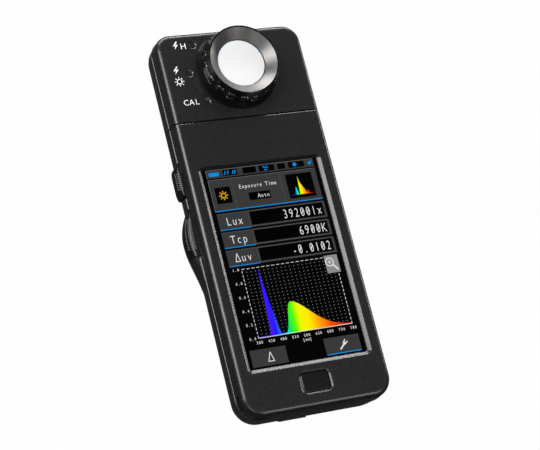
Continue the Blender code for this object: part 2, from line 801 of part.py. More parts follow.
def swell(name, stations, low_z, back_x, stand_at, finish=None):
    """A swelling on the left side: an arch outside the wall, with a straight back inside it."""
    middle, half = (low_z + REAR_TOP_Z) / 2, (REAR_TOP_Z - low_z) / 2
    sections = []
    for y, groove in stations:
        outline = [(-back_x, REAR_TOP_Z), (-back_x, low_z)]
        for step in range(SWELL_STEPS + 1):
            angle = math.radians(180 * step / SWELL_STEPS)
            z = middle - half * math.cos(angle)
            stand = stand_at(y) * max(math.sin(angle), 0.0) ** SWELL_FULLNESS
            if z > REAR_TOP_Z - RIB_BAND:
                stand -= groove
            outline.append((-side_x(z) - stand, z))
        sections.append((-y, outline))
    return loft(name, sections, finish, Matrix.Rotation(math.radians(90), 4, "X"))


def side_plate(name, side, y, low_z, length, grow, depths, radius=KEY_CORNER_R):
    """A helper in a side wall, up to the parting line, with its two lower corners rounded."""
    high_z = REAR_TOP_Z + radius
    size = (length + 2 * grow, high_z - low_z + 2 * grow)
    return plate(name, size, radius + grow, depths, place=out_of_side(side, y, (low_z + high_z) / 2))


def make_swell_key(name, y, length, low_z, stand_at):
    """A sprung key on the left side, with a ribbed band along the parting line and a flange."""
    inner = WALL + KEY_FLANGE_DEPTH
    root = inner + KEY_FLANGE_THICK / 2
    stations = ribbed_stations(y - length / 2, y + length / 2)
    key = swell(name, stations, low_z, HALF_WIDTH - root, stand_at, "key_black")
    keep_inside(key, side_plate(name + "_outline", -1, y, low_z, length, 0.0, (-root - OVERRUN, BODY_DEPTH)))
    flange_size = (length + 2 * KEY_FLANGE, (REAR_TOP_Z - low_z) * KEY_FLANGE_HEIGHT_SHARE)
    place = out_of_side(-1, y, (low_z + REAR_TOP_Z) / 2)
    heights = (-inner - KEY_FLANGE_THICK, -inner)
    join(key, plate(name + "_flange", flange_size, KEY_FLANGE, heights, place=place))


def key_opening(name, side, y, low_z, length):
    """The helper that opens the left side, up to the parting line, for a key."""
    depth = WALL + KEY_FLANGE_DEPTH + 2 * KEY_FLANGE_THICK
    return side_plate(name, side, y, low_z, length, PLAY, (-depth, BODY_DEPTH))


def make_power_key():
    """The low power key in the right side, with its flange."""
    place = out_of_side(1, POWER_Y, POWER_Z)
    inner = WALL + KEY_FLANGE_DEPTH
    root = inner + KEY_FLANGE_THICK / 2
    size = (POWER_LENGTH, POWER_HEIGHT)
    crown = (POWER_LENGTH - POWER_EDGE, POWER_HEIGHT - POWER_EDGE)
    sections = [
        (-root, rounded_outline(*size, POWER_R)),
        (POWER_STAND - POWER_EDGE, rounded_outline(*size, POWER_R)),
        (POWER_STAND - POWER_EDGE / 3, rounded_outline(*crown, POWER_R - POWER_EDGE / 2)),
        (POWER_STAND, rounded_outline(*[side - POWER_EDGE for side in crown], POWER_R - POWER_EDGE)),
    ]
    key = loft("power_button", sections, "key_black", place)
    flange_size = (POWER_LENGTH + 2 * KEY_FLANGE, POWER_HEIGHT * KEY_FLANGE_HEIGHT_SHARE)
    heights = (-inner - KEY_FLANGE_THICK, -inner)
    join(key, plate("power_flange", flange_size, KEY_FLANGE, heights, place=place))


def make_side_switch(name, side, y, z, height):
    """A push switch that faces a side wall."""
    half = SWITCH_SIDE / 2
    low_x, high_x = sorted((side * SWITCH_BACK_X, side * SWITCH_FACE_X))
    switch = box(name, (low_x, y - half, z - height / 2), (high_x, y + half, z + height / 2), "switch_grey")
    start = (side * (SWITCH_BACK_X + SWITCH_BODY / 2), y, z)
    join(switch, rod(name + "_plunger", SWITCH_PLUNGER_R, start, (side * SWITCH_TIP_X, y, z), sides=16))


# Body housing


def window_cutter():
    """The screen opening with its chamfer, and the rebate that the panel sits in."""
    margin = WINDOW_CHAMFER / WINDOW_CHAMFER_DEPTH
    sections = []
    for z in (FACE_IN_Z - OVERRUN, BODY_DEPTH - WINDOW_CHAMFER_DEPTH, BODY_DEPTH + OVERRUN):
        grow = max(z - BODY_DEPTH + WINDOW_CHAMFER_DEPTH, 0.0) * margin
        outline = rounded_outline(
            WINDOW_WIDTH + 2 * grow, WINDOW_LENGTH + 2 * grow, WINDOW_R + grow, 0.0, WINDOW_Y
        )
        sections.append((z, outline))
    window = loft("window_cutter", sections)
    size = (PANEL_WIDTH + 2 * PLAY, PANEL_LENGTH + 2 * PLAY)
    rebate = plate(
        "panel_rebate", size, PANEL_MARGIN, (FACE_IN_Z - OVERRUN, REBATE_TOP_Z), (0.0, WINDOW_Y)
    )
    return window, rebate


def menu_cutter():
    """The menu button's hole, chamfered at the face."""
    sections = []
    for z in (FACE_IN_Z - OVERRUN, BODY_DEPTH - MENU_HOLE_CHAMFER, BODY_DEPTH + OVERRUN):
        grow = PLAY + max(z - BODY_DEPTH + MENU_HOLE_CHAMFER, 0.0)
        outline = rounded_outline(MENU_WIDTH + 2 * grow, MENU_HEIGHT + 2 * grow, MENU_R + grow, 0.0, MENU_Y)
        sections.append((z, outline))
    return loft("menu_cutter", sections)


def strap_corner():
    """The solid corner that the strap passes through, and the two legs of its channel."""
    out_x, out_y = HALF_WIDTH, HALF_LENGTH
    span = STRAP_POST + STRAP_WIDTH + STRAP_WALL
    block = box(
        "strap_block", (-out_x, -out_y, 0.0), (span - out_x, span - out_y, BODY_DEPTH)
    )
    low, high = STRAP_Z - STRAP_HEIGHT / 2, STRAP_Z + STRAP_HEIGHT / 2
    near, far = STRAP_POST, STRAP_POST + STRAP_WIDTH
    side_leg = box(
        "strap_side_leg", (-out_x - OVERRUN, near - out_y, low), (far - out_x, far - out_y, high)
    )
    end_leg = box(
        "strap_end_leg", (near - out_x, -out_y - OVERRUN, low), (far - out_x, far - out_y - OVERRUN, high)
    )
    return block, (side_leg, end_leg)


def swivel_bore(name, radius, low, high):
    """The helper that bores a wall for the swivel."""
    return rod(name, radius, (0, low, AXIS_Z), (0, high, AXIS_Z), sides=48)


def make_front_cover(openings):
    """The body's front cover."""
    block, legs = strap_corner()
    cover = front_shell("front_cover", BODY_TOP_Y, -1, [*front_posts(BODY_SCREWS), block])
    cut(cover, *window_cutter(), menu_cutter(), *legs, *openings)
    return cover


def ramp():
    """The fixed ramp that carries the measuring button's swelling down into the side."""
    top_y = MEASURE_Y - MEASURE_LENGTH / 2 + OVERRUN
    stations = plain_stations(top_y - RAMP_LENGTH - OVERRUN, top_y)
    back_x = side_x(MEASURE_LOW_Z) - WALL / 2

    def stand_at(y):
        return measure_stand(y) - RAMP_FADE * (top_y - y) / RAMP_LENGTH

    return swell("ramp", stations, MEASURE_LOW_Z, back_x, stand_at)


def tub_helpers():
    """The battery tub's outside, its room, and the rib between the cells."""
    wall = TUB_WALL
    outside = box(
        "tub_outside",
        (-TUB_HALF_WIDTH - wall, TUB_LOW_Y - wall, 0.0),
        (TUB_HALF_WIDTH + wall, TUB_TOP_Y + wall, TUB_TOP_Z),
    )
    room = box(
        "tub_room", (-TUB_HALF_WIDTH, TUB_LOW_Y, 0.0), (TUB_HALF_WIDTH, TUB_TOP_Y, TUB_ROOF_Z)
    )
    keep_inside(room, loft("tub_room_form", rear_sections(WALL, -BODY_TOP_Y, -1, REAR_TOP_Z)))
    rib = box(
        "tub_rib",
        (-TUB_RIB / 2, TUB_LOW_Y + CONTACT_SIDE, TUB_ROOF_Z - TUB_RIB_DEPTH),
        (TUB_RIB / 2, TUB_TOP_Y - CONTACT_SIDE, TUB_ROOF_Z + OVERRUN),
    )
    cut(room, rib)
    return outside, room


def tab_places():
    """Where the door's tabs sit along the meter."""
    return [DOOR_TOP_Y - TAB_TOP_GAP - i * TAB_PITCH for i in range(TAB_COUNT)]


def door_opening():
    """The helper that opens the back for the battery door, with notches that free its tabs."""
    half = DOOR_HALF_WIDTH + PLAY
    opening = box(
        "door_opening",
        (-half, -HALF_LENGTH - OVERRUN, -OVERRUN),
        (half, DOOR_TOP_Y + PLAY, DOOR_END_HEIGHT + PLAY),
    )
    inner = rear_sections(DOOR_THICK + PLAY, -BODY_TOP_Y, -1, REAR_TOP_Z)
    cut(opening, loft("door_opening_form", inner))
    notch_half = half + TAB_REACH
    notches = []
    for i, y in enumerate(tab_places()):
        mid = y - DOOR_TRAVEL
        reach = TAB_LENGTH / 2 + PLAY
        low = (-notch_half, mid - reach, -OVERRUN)
        notches.append(box(f"tab_notch_{i}", low, (notch_half, mid + reach, WALL + PLAY)))
    return [opening, *notches]


def bush_helpers():
    """The tripod bush's boss and its seat."""
    top = PLAY + BUSH_LENGTH + PLAY
    radius = BUSH_R + PLAY
    boss = rod("bush_boss", radius + BUSH_BOSS_WALL, (0, BUSH_Y, -OVERRUN), (0, BUSH_Y, top + WALL))
    seat = rod("bush_seat", radius, (0, BUSH_Y, -OVERRUN), (0, BUSH_Y, top))
    return boss, seat


def usb_middle_z():
    """The height of the USB socket's middle, under the main board."""
    return BOARD_LOW_Z - PLAY - USB_HEIGHT / 2


def socket_openings():
    """Helpers for the USB mouth, its flap's recess and the sync socket."""
    place = out_of_side(1, USB_Y, usb_middle_z())
    mouth = plate(
        "usb_opening", (USB_WIDTH + 2 * PLAY, USB_HEIGHT + 2 * PLAY), PLAY, (-2 * WALL, OVERRUN), place=place
    )
    recess = plate(
        "flap_recess",
        (FLAP_LENGTH + 2 * PLAY, FLAP_HEIGHT + 2 * PLAY),
        FLAP_R + PLAY,
        (-FLAP_SINK - FLAP_THICK - PLAY, OVERRUN),
        (-FLAP_SHIFT, 0.0),
        place=place,
    )
    sync = rod(
        "sync_opening",
        SYNC_R + PLAY,
        (SIDE_IN_X - WALL, SYNC_Y, SYNC_Z),
        (HALF_WIDTH + OVERRUN, SYNC_Y, SYNC_Z),
    )
    return mouth, recess, sync


def make_rear_cover(openings):
    """The body's back cover, with the battery tub moulded in."""
    tub, room = tub_helpers()
    boss, seat = bush_helpers()
    kept = [*rear_posts(BODY_SCREWS), tub, boss]
    cover = rear_shell("rear_cover", BODY_TOP_Y, -1, kept, [ramp()])
    cut(cover, room, seat, *door_opening(), *socket_openings(), *openings)
    return cover


def make_body_housing():
    """Both covers of the body, with what passes through their common wall."""
    bore = HUB_R + RUNNING_GAP + BEARING_WALL + PLAY
    bore_cutter = swivel_bore("body_bore", bore, BODY_TOP_Y - 2 * WALL, BODY_TOP_Y + OVERRUN)
    power_size = (POWER_LENGTH + 2 * PLAY, POWER_HEIGHT + 2 * PLAY)
    depths = (-WALL - KEY_FLANGE_DEPTH, OVERRUN)
    openings = [
        key_opening("measure_opening", -1, MEASURE_Y, MEASURE_LOW_Z, MEASURE_LENGTH),
        key_opening("memory_opening", -1, MEMORY_Y, MEMORY_LOW_Z, MEMORY_LENGTH),
        plate("power_opening", power_size, POWER_R + PLAY, depths, place=out_of_side(1, POWER_Y, POWER_Z)),
        bore_cutter,
    ]
    front = make_front_cover([bore_cutter])
    rear = make_rear_cover(openings)
    bore_posts(front, rear, BODY_SCREWS)
    make_screws(BODY_SCREWS)


# Screen, boards and what stands on them


def make_screen():
    """Touch panel, gasket and display module."""
    centre = (0.0, WINDOW_Y)
    size = (PANEL_WIDTH, PANEL_LENGTH)
    plate("touch_panel", size, PANEL_MARGIN, (PANEL_LOW_Z, PANEL_TOP_Z), centre, "touch_glass")
    gasket = plate("panel_gasket", size, PANEL_MARGIN, (GASKET_LOW_Z, GASKET_TOP_Z), centre, "foam_black")
    view = (WINDOW_WIDTH, WINDOW_LENGTH)
    cut(gasket, plate("gasket_window", view, WINDOW_R, (GASKET_LOW_Z - OVERRUN, PANEL_LOW_Z), centre))
    lcd = plate(
        "lcd_module", (LCD_WIDTH, LCD_LENGTH), PANEL_MARGIN, (LCD_LOW_Z, LCD_TOP_Z), centre, "screen_dark"
    )
    view = (LCD_WIDTH - 2 * LCD_BORDER, LCD_LENGTH - 2 * LCD_BORDER)
    cut(lcd, plate("lcd_view", view, WINDOW_R, (LCD_TOP_Z - LCD_RECESS, LCD_TOP_Z + OVERRUN), centre))


def make_chassis():
    """The steel plate between the display and the main board."""
    top_y = BOARD_TOP_Y
    mid_y = (top_y + LCD_LOW_Y) / 2
    length = top_y - LCD_LOW_Y
    plate_size = (LCD_WIDTH, length)
    heights = (CHASSIS_LOW_Z, CHASSIS_TOP_Z)
    chassis = plate("chassis_plate", plate_size, PANEL_MARGIN, heights, (0.0, mid_y), "plate_steel")
    rows = 3
    for i in range(rows):
        y = LCD_LOW_Y + length * (i + 1 / 2) / rows
        size = (LCD_WIDTH / 2, length / rows - CHASSIS_BAR)
        heights = (CHASSIS_LOW_Z - OVERRUN, CHASSIS_TOP_Z + OVERRUN)
        cut(chassis, plate(f"chassis_window_{i}", size, PANEL_MARGIN, heights, (0.0, y)))


def make_main_board():
    """The main board, with a tongue that carries the menu switch, and its larger chips."""
    wide, slim = BOARD_WIDTH / 2, TONGUE_WIDTH / 2
    end = TONGUE_END - HALF_LENGTH
    outline = [
        (wide, BOARD_TOP_Y),
        (-wide, BOARD_TOP_Y),
        (-wide, LCD_LOW_Y),
        (-slim, LCD_LOW_Y),
        (-slim, end),
        (slim, end),
        (slim, LCD_LOW_Y),
        (wide, LCD_LOW_Y),
    ]
    board = loft("main_board", [(BOARD_LOW_Z, outline), (BOARD_TOP_Z, outline)], "board_green")
    for i, (x_share, y_share, size_share) in enumerate(CHIP_SHARES):
        side = CHIP_SIDE * size_share
        x, y = x_share * wide, y_share * BOARD_TOP_Y
        low = (x - side / 2, y - side / 2, BOARD_LOW_Z - CHIP_THICK)
        join(board, box(f"chip_{i}", low, (x + side / 2, y + side / 2, BOARD_LOW_Z + BOARD_THICK / 2)))


def make_menu_button():
    """The menu button, its retaining flange and stem, and the switch under it."""
    top = BODY_DEPTH - MENU_SINK
    flange_top = FACE_IN_Z - PLAY
    flange_low = flange_top - MENU_FLANGE_THICK
    flange = (MENU_WIDTH + 2 * MENU_FLANGE, MENU_HEIGHT + 2 * MENU_FLANGE)
    face = (MENU_WIDTH - 2 * MENU_CHAMFER, MENU_HEIGHT - 2 * MENU_CHAMFER)
    sections = [
        (flange_low, rounded_outline(*flange, MENU_R)),
        (flange_top, rounded_outline(*flange, MENU_R)),
        (flange_top, rounded_outline(MENU_WIDTH, MENU_HEIGHT, MENU_R)),
        (top - MENU_CHAMFER, rounded_outline(MENU_WIDTH, MENU_HEIGHT, MENU_R)),
        (top, rounded_outline(*face, MENU_R - MENU_CHAMFER / 2)),
    ]
    button = loft("menu_button", sections, "key_black", upright(0, MENU_Y))
    low = BOARD_TOP_Z + PLAY
    body_top = low + SWITCH_BODY
    tip = body_top + MENU_PLUNGER
    stem = (0, MENU_Y, tip + MENU_TRAVEL + RUNNING_GAP)
    join(button, rod("menu_stem", SWITCH_PLUNGER_R, stem, (0, MENU_Y, flange_top), sides=16))
    half = SWITCH_SIDE / 2
    switch = box("menu_switch", (-half, MENU_Y - half, low), (half, MENU_Y + half, body_top), "switch_grey")
    join(switch, rod("menu_plunger", SWITCH_PLUNGER_R, (0, MENU_Y, low + PLAY), (0, MENU_Y, tip), sides=16))


def make_side_keys():
    """The measuring, memory and power keys with their switches and the side board."""
    make_swell_key("measure_button", MEASURE_Y, MEASURE_LENGTH, MEASURE_LOW_Z, measure_stand)
    make_swell_key("memory_button", MEMORY_Y, MEMORY_LENGTH, MEMORY_LOW_Z, memory_stand)
    make_power_key()
    top = BOARD_LOW_Z - PLAY
    middle = top - SWITCH_SIDE / 2
    make_side_switch("measure_switch", -1, MEASURE_Y, middle, SWITCH_SIDE)
    make_side_switch("memory_switch", -1, MEMORY_Y, middle, SWITCH_SIDE)
    height = 2 * (top - POWER_Z)
    make_side_switch("power_switch", 1, POWER_Y, POWER_Z, height)
    out_x = SWITCH_BACK_X - PLAY
    low_y = MEASURE_Y - SWITCH_SIDE / 2 - SIDE_BOARD_MARGIN
    high_y = MEMORY_Y + SWITCH_SIDE / 2 + SIDE_BOARD_MARGIN
    low = (-out_x, low_y, floor_height(out_x) + PLAY)
    box("side_board", low, (SIDE_BOARD_THICK - out_x, high_y, top), "board_green")


# Sockets


def make_usb():
    """The USB socket with its tongue, and the rubber flap over it."""
    place = out_of_side(1, USB_Y, usb_middle_z())
    face = -FLAP_SINK - FLAP_THICK - 2 * PLAY
    size = (USB_WIDTH, USB_HEIGHT)
    socket = plate("usb_socket", size, USB_WALL, (face - USB_DEPTH, face), finish="spring_steel", place=place)
    mouth_size = (USB_WIDTH - 2 * USB_WALL, USB_HEIGHT - 2 * USB_WALL)
    mouth_depths = (face - USB_DEPTH * 3 / 4, face + OVERRUN)
    mouth = plate("usb_mouth", mouth_size, USB_WALL / 2, mouth_depths, place=place)
    tongue_size = (USB_WIDTH / 2, USB_TONGUE)
    tongue = plate("usb_tongue", tongue_size, USB_WALL / 2, (-USB_DEPTH, face - USB_WALL), place=place)
    cut(mouth, tongue)
    cut(socket, mouth)
    hinge = Matrix.Translation((0, -FLAP_SHIFT - FLAP_LENGTH / 2, 0)) @ place
    outline_x = FLAP_LENGTH / 2
    heights = (-FLAP_SINK - FLAP_THICK, -FLAP_SINK)
    size = (FLAP_LENGTH, FLAP_HEIGHT)
    flap = plate("usb_flap", size, FLAP_R, heights, (outline_x, 0.0), "rubber_black", hinge)
    grip = (FLAP_LENGTH - FLAP_R, 0.0)
    notch_size = (2 * FLAP_R, FLAP_HEIGHT / 2)
    notch = (-FLAP_SINK - FLAP_THICK / 2, OVERRUN)
    cut(flap, plate("flap_nail_notch", notch_size, FLAP_R / 2, notch, grip, place=hinge))


def make_sync_socket():
    """The round sync socket with its centre pin."""
    top = -SYNC_SINK
    floor = top - SYNC_MOUTH_DEPTH
    tip = top - SYNC_SINK
    profile = [
        (0, tip),
        (SYNC_PIN_R, tip),
        (SYNC_PIN_R, floor),
        (SYNC_MOUTH_R, floor),
        (SYNC_MOUTH_R, top),
        (SYNC_R, top),
        (SYNC_R, top - SYNC_LENGTH),
        (0, top - SYNC_LENGTH),
    ]
    turned("sync_socket", profile, out_of_side(1, SYNC_Y, SYNC_Z), "spring_steel", 24)


def make_tripod_bush():
    """The brass bush that takes a tripod screw."""
    low, top = PLAY, PLAY + BUSH_LENGTH
    lead = PLAY
    profile = [
        (BUSH_R, top),
        (BUSH_R, low),
        (BUSH_BORE_R + lead, low),
        (BUSH_BORE_R, low + lead),
        (BUSH_BORE_R, top),
    ]
    turned("tripod_bush", profile, upright(0, BUSH_Y), "brass", 32)


# Batteries


def make_cell(name, x, way):
    """One AA cell. way is 1 when its nub points to the head."""
    near = TUB_TOP_Y if way > 0 else -TUB_LOW_Y
    tip = near - 2 * PLAY - CONTACT_THICK
    shoulder = tip - NUB_LENGTH
    tail = shoulder - CELL_LENGTH
    edge = PLAY
    profile = [
        (0, tip),
        (NUB_R, tip),
        (NUB_R, shoulder),
        (CELL_R - edge, shoulder),
        (CELL_R, shoulder - edge),
        (CELL_R, tail + edge),
        (CELL_R - edge, tail),
        (0, tail),
    ]
    place = upright(x, 0, CELL_Z) @ Matrix.Rotation(math.radians(-90 * way), 4, "X")
    turned(name, profile, place, "cell_jacket", 24)
    return way * tail


def make_contact_spring(name, x, start_y, end_y):
    """A conical spring from a contact plate to a cell's tail."""
    points = []
    count = int(SPRING_TURNS * SPRING_TURN_POINTS)
    for i in range(count + 1):
        share = i / count
        radius = SPRING_WIDE_R + (SPRING_SMALL_R - SPRING_WIDE_R) * share
        angle = math.radians(360 * SPRING_TURNS * share)
        y = start_y + (end_y - start_y) * share
        points.append((x + radius * math.cos(angle), y, CELL_Z + radius * math.sin(angle)))
    wire(name, points, SPRING_WIRE_R, "spring_steel", 0)


def make_batteries():
    """Two cells, one each way round, with their contact plates and springs."""
    low_plate = TUB_LOW_Y + PLAY
    top_plate = TUB_TOP_Y - PLAY
    half = CONTACT_SIDE / 2
    clear = PLAY + SPRING_WIRE_R
    left_tail = make_cell("battery_left", -CELL_X, 1)
    right_tail = make_cell("battery_right", CELL_X, -1)
    wide = CELL_X + half
    box(
        "contact_bridge",
        (-wide, low_plate, CELL_Z - half),
        (wide, low_plate + CONTACT_THICK, CELL_Z + half),
        "plate_steel",
    )
    for name, x in (("contact_plus", -CELL_X), ("contact_minus", CELL_X)):
        low = (x - half, top_plate - CONTACT_THICK, CELL_Z - half)
        box(name, low, (x + half, top_plate, CELL_Z + half), "plate_steel")
    plate_face = low_plate + CONTACT_THICK
    make_contact_spring("spring_left", -CELL_X, plate_face + clear, left_tail - clear)
    plate_face = top_plate - CONTACT_THICK
    make_contact_spring("spring_right", CELL_X, plate_face - clear, right_tail + clear)


def make_battery_door():
    """The battery door: a piece of the back that slides off towards the lower end."""
    flat = -DOOR_TOP_Y
    door = loft("battery_cover", rear_sections(0.0, flat, -1, DOOR_END_HEIGHT), "shell_black")
    half = DOOR_HALF_WIDTH
    strip = box("door_strip", (-half, -HALF_LENGTH - OVERRUN, -OVERRUN), (half, HALF_LENGTH, BODY_DEPTH))
    keep_inside(door, strip)
    pad = loft("door_pad", rear_sections(-PAD_STAND, flat, -1, DOOR_END_HEIGHT - PAD_TOP_GAP))
    low_x = PAD_SIDE_GAP - half
    high = (low_x + PAD_WIDTH, TUB_LOW_Y, BODY_DEPTH)
    pad_room = box("door_pad_room", (low_x, -HALF_LENGTH - OVERRUN, PAD_LOW_Z), high)
    keep_inside(pad, pad_room)
    join(door, pad)
    inner = rear_sections(DOOR_THICK, flat - OVERRUN, -1, DOOR_END_HEIGHT + OVERRUN)
    cut(door, loft("door_hollow", inner))
    rail_low_y = RAIL_END - HALF_LENGTH
    rail_top = WALL + PLAY + TAB_THICK
    for side in (-1, 1):
        low_x, high_x = sorted((side * (half - RAIL_WIDTH), side * half))
        rail = box(
            f"door_rail_{side}",
            (low_x, rail_low_y, DOOR_THICK / 2),
            (high_x, TUB_TOP_Y - PLAY, rail_top),
        )
        join(door, rail)
        for i, y in enumerate(tab_places()):
            low_x, high_x = sorted((side * (half - RAIL_WIDTH / 2), side * (half + TAB_REACH)))
            low = (low_x, y - TAB_LENGTH / 2, WALL + PLAY)
            join(door, box(f"door_tab_{side}_{i}", low, (high_x, y + TAB_LENGTH / 2, rail_top)))
    for i in range(GRIP_GROOVES):
        y = GRIP_END - HALF_LENGTH + i * GRIP_PITCH
        reach = GRIP_LENGTH / 2
        cut(door, rod(f"grip_groove_{i}", GRIP_R, (-reach, y, 0), (reach, y, 0), sides=12))


# Head swivel


def make_swivel():
    """Hub, bearing bush, washer and clip of the head's swivel, all on the axis along Y."""
    place = along_y(AXIS_Z)
    flange_low = HEAD_LOW_Y + WALL + PLAY
    end = CLIP_TOP_Y - CLIP_THICK - HUB_END
    groove_r = HUB_R - HUB_GROOVE_DEPTH
    slack = RUNNING_GAP / 2
    hub = [
        (HUB_FLANGE_R, flange_low + HUB_FLANGE),
        (HUB_FLANGE_R, flange_low),
        (HUB_R, flange_low),
        (HUB_R, CLIP_TOP_Y + slack),
        (groove_r, CLIP_TOP_Y + slack),
        (groove_r, CLIP_TOP_Y - CLIP_THICK - slack),
        (HUB_R, CLIP_TOP_Y - CLIP_THICK - slack),
        (HUB_R, end),
        (HUB_BORE_R, end),
        (HUB_BORE_R, flange_low + HUB_FLANGE),
    ]
    turned("swivel_hub", hub, place, "spring_steel", 32)
    inner = HUB_R + RUNNING_GAP
    wall_in = BODY_TOP_Y - WALL
    lip_top = wall_in - PLAY
    bearing = [
        (inner + BEARING_WALL, BODY_TOP_Y),
        (inner + BEARING_WALL, lip_top),
        (BEARING_LIP_R, lip_top),
        (BEARING_LIP_R, lip_top - BEARING_LIP),
        (inner, lip_top - BEARING_LIP),
        (inner, BODY_TOP_Y),
    ]
    turned("swivel_bearing", bearing, place, "bush_white", 32)
    washer = [
        (WASHER_R, WASHER_TOP_Y),
        (WASHER_R, WASHER_TOP_Y - WASHER_THICK),
        (inner, WASHER_TOP_Y - WASHER_THICK),
        (inner, WASHER_TOP_Y),
    ]
    turned("swivel_washer", washer, place, "plate_steel", 32)
    half_gap = CLIP_GAP_DEG / 2
    outline = arc_outline(groove_r + RUNNING_GAP, CLIP_R, half_gap - 90, 270 - half_gap, 20)
    heights = (CLIP_TOP_Y - CLIP_THICK, CLIP_TOP_Y)
    loft("swivel_clip", [(height, outline) for height in heights], "spring_steel", place)


def arc_outline(inner, outer, start, end, steps):
    """The outline of a part of a ring between two angles, anticlockwise."""
    angles = [math.radians(start + (end - start) * i / steps) for i in range(steps + 1)]
    outside = [(outer * math.cos(a), outer * math.sin(a)) for a in angles]
    inside = [(inner * math.cos(a), inner * math.sin(a)) for a in reversed(angles)]
    return outside + inside


def make_harness():
    """The cable through the hub's bore, and the block on the main board that takes its end."""
    half = HARNESS_BLOCK_WIDTH / 2
    top_y = HARNESS_BLOCK_TOP_Y
    low_y = top_y - HARNESS_BLOCK_LENGTH
    hole_r = HARNESS_R + PLAY
    low_z = AXIS_Z - hole_r - HARNESS_BLOCK_WALL
    block = box("harness_block", (-half, low_y, low_z), (half, top_y, BOARD_LOW_Z - PLAY), "switch_grey")
    hole_end = top_y - HARNESS_DEPTH
    cut(block, rod("harness_hole", hole_r, (0, hole_end, AXIS_Z), (0, top_y + OVERRUN, AXIS_Z)))
    hub_top = HEAD_LOW_Y + WALL + PLAY + HUB_FLANGE
    plug_y = sensor_low_y() - PLAY
    plug_z = BLOCK_TOP_Z + PLAY + SENSOR_THICK + PLUG_HEIGHT / 2
    side_step = PLUG_X / 3
    route = [
        (0, hole_end + PLAY, AXIS_Z),
        (0, BODY_TOP_Y, AXIS_Z),
        (0, hub_top, AXIS_Z),
        (side_step, (2 * hub_top + plug_y) / 3, AXIS_Z),
        (2.6 * side_step, (hub_top + plug_y) / 2, plug_z),
        (PLUG_X, plug_y - HARNESS_R, plug_z),
        (PLUG_X, plug_y, plug_z),
    ]
    wire("sensor_harness", smooth_route(route, 6), HARNESS_R, "rubber_black", 2)


# Head housing


def make_head_housing():
    """Both covers of the head."""
    front = front_shell("head_front_cover", HEAD_LOW_Y, 1, front_posts(HEAD_SCREWS))
    rear = rear_shell("head_rear_cover", HEAD_LOW_Y, 1, rear_posts(HEAD_SCREWS))
    bore = swivel_bore("head_bore", HUB_R + PLAY, HEAD_LOW_Y - OVERRUN, HEAD_LOW_Y + 2 * WALL)
    cut(front, bore)
    cut(rear, bore)
    low, high = FACE_IN_Z - OVERRUN, BODY_DEPTH + OVERRUN
    hole_r = CORE_R + PLAY
    cut(front, rod("receptor_hole", hole_r, (0, RECEPTOR_Y, low), (0, RECEPTOR_Y, high), sides=48))
    reach = DRIVE_PIN_R + PLAY
    spread = RING_TURN_DEG + SLOT_END_DEG
    outline = arc_outline(DRIVE_R - reach, DRIVE_R + reach, DRIVE_DEG - spread, DRIVE_DEG + spread, 16)
    slot = loft("drive_slot", [(low, outline), (high, outline)], place=upright(0, RECEPTOR_Y))
    cut(front, slot, *detent_dimples())
    bore_posts(front, rear, HEAD_SCREWS)
    make_screws(HEAD_SCREWS)


def detent_dimples():
    """Spherical cutters for the three marks that show the ring's stops."""
    radius = (DIMPLE_R**2 + DIMPLE_DEPTH**2) / (2 * DIMPLE_DEPTH)
    cutters = []
    for step in (-1, 0, 1):
        angle = math.radians(180 + step * RING_TURN_DEG)
        x = DIMPLE_CIRCLE_R * math.cos(angle)
        y = RECEPTOR_Y + DIMPLE_CIRCLE_R * math.sin(angle)
        shape = bmesh.new()
        bmesh.ops.create_uvsphere(shape, u_segments=16, v_segments=10, radius=radius)
        name = f"dimple_{step + 1}"
        place = upright(x, y, BODY_DEPTH + radius - DIMPLE_DEPTH)
        cutters.append(add_object(name, finished_mesh(name, shape), None, place))
    return cutters


# Receptor


def make_selector_ring():
    """The ring that turns round the receptor: flared base, ribbed band, plain neck and thin rim."""
    face = BODY_DEPTH
    top = face + RING_HEIGHT
    profile = [
        (RING_TOP_R, top),
        (RING_NECK_R, face + RING_NECK_TOP),
        (RING_NECK_R + RING_LIP, face + RING_BAND_TOP + RING_LIP),
        (RING_BAND_R, face + RING_BAND_TOP),
        (RING_BAND_R, face + RING_BAND_LOW),
        (RING_BAND_R - RING_LIP, face + RING_FLARE_TOP),
        (RING_BASE_R - RING_LIP, face + RING_EDGE_TOP),
        (RING_BASE_R, face + RING_EDGE_TOP - RING_LIP),
        (RING_BASE_R, face + PLAY),
        (RING_BORE_R, face + PLAY),
        (RING_BORE_R, face + RING_SHELF),
        (RING_TOP_R - RING_LIP, face + RING_SHELF),
        (RING_TOP_R - RING_LIP, top),
    ]
    place = upright(0, RECEPTOR_Y)
    ring = turned("selector_ring", profile, place, "ring_black", RING_STEPS)
    notch_middle = RING_BAND_R + RING_NOTCH_R - RING_NOTCH_DEPTH
    low, high = face + RING_FLARE_TOP, face + RING_BAND_TOP
    for i in range(RING_RIBS):
        angle = math.radians((i + 1 / 2) * 360 / RING_RIBS)
        x = notch_middle * math.cos(angle)
        y = RECEPTOR_Y + notch_middle * math.sin(angle)
        cut(ring, rod(f"ring_notch_{i}", RING_NOTCH_R, (x, y, low), (x, y, high + OVERRUN), sides=16))
    angle = math.radians(DRIVE_DEG)
    x = DRIVE_R * math.cos(angle)
    y = RECEPTOR_Y + DRIVE_R * math.sin(angle)
    join(ring, rod("drive_pin", DRIVE_PIN_R, (x, y, DISC_LOW_Z), (x, y, face + 2 * PLAY), sides=12))
    index_seat = index_block("index_seat", PLAY / 2)
    cut(ring, index_seat)
    index_block("ring_index", 0.0, "index_grey")


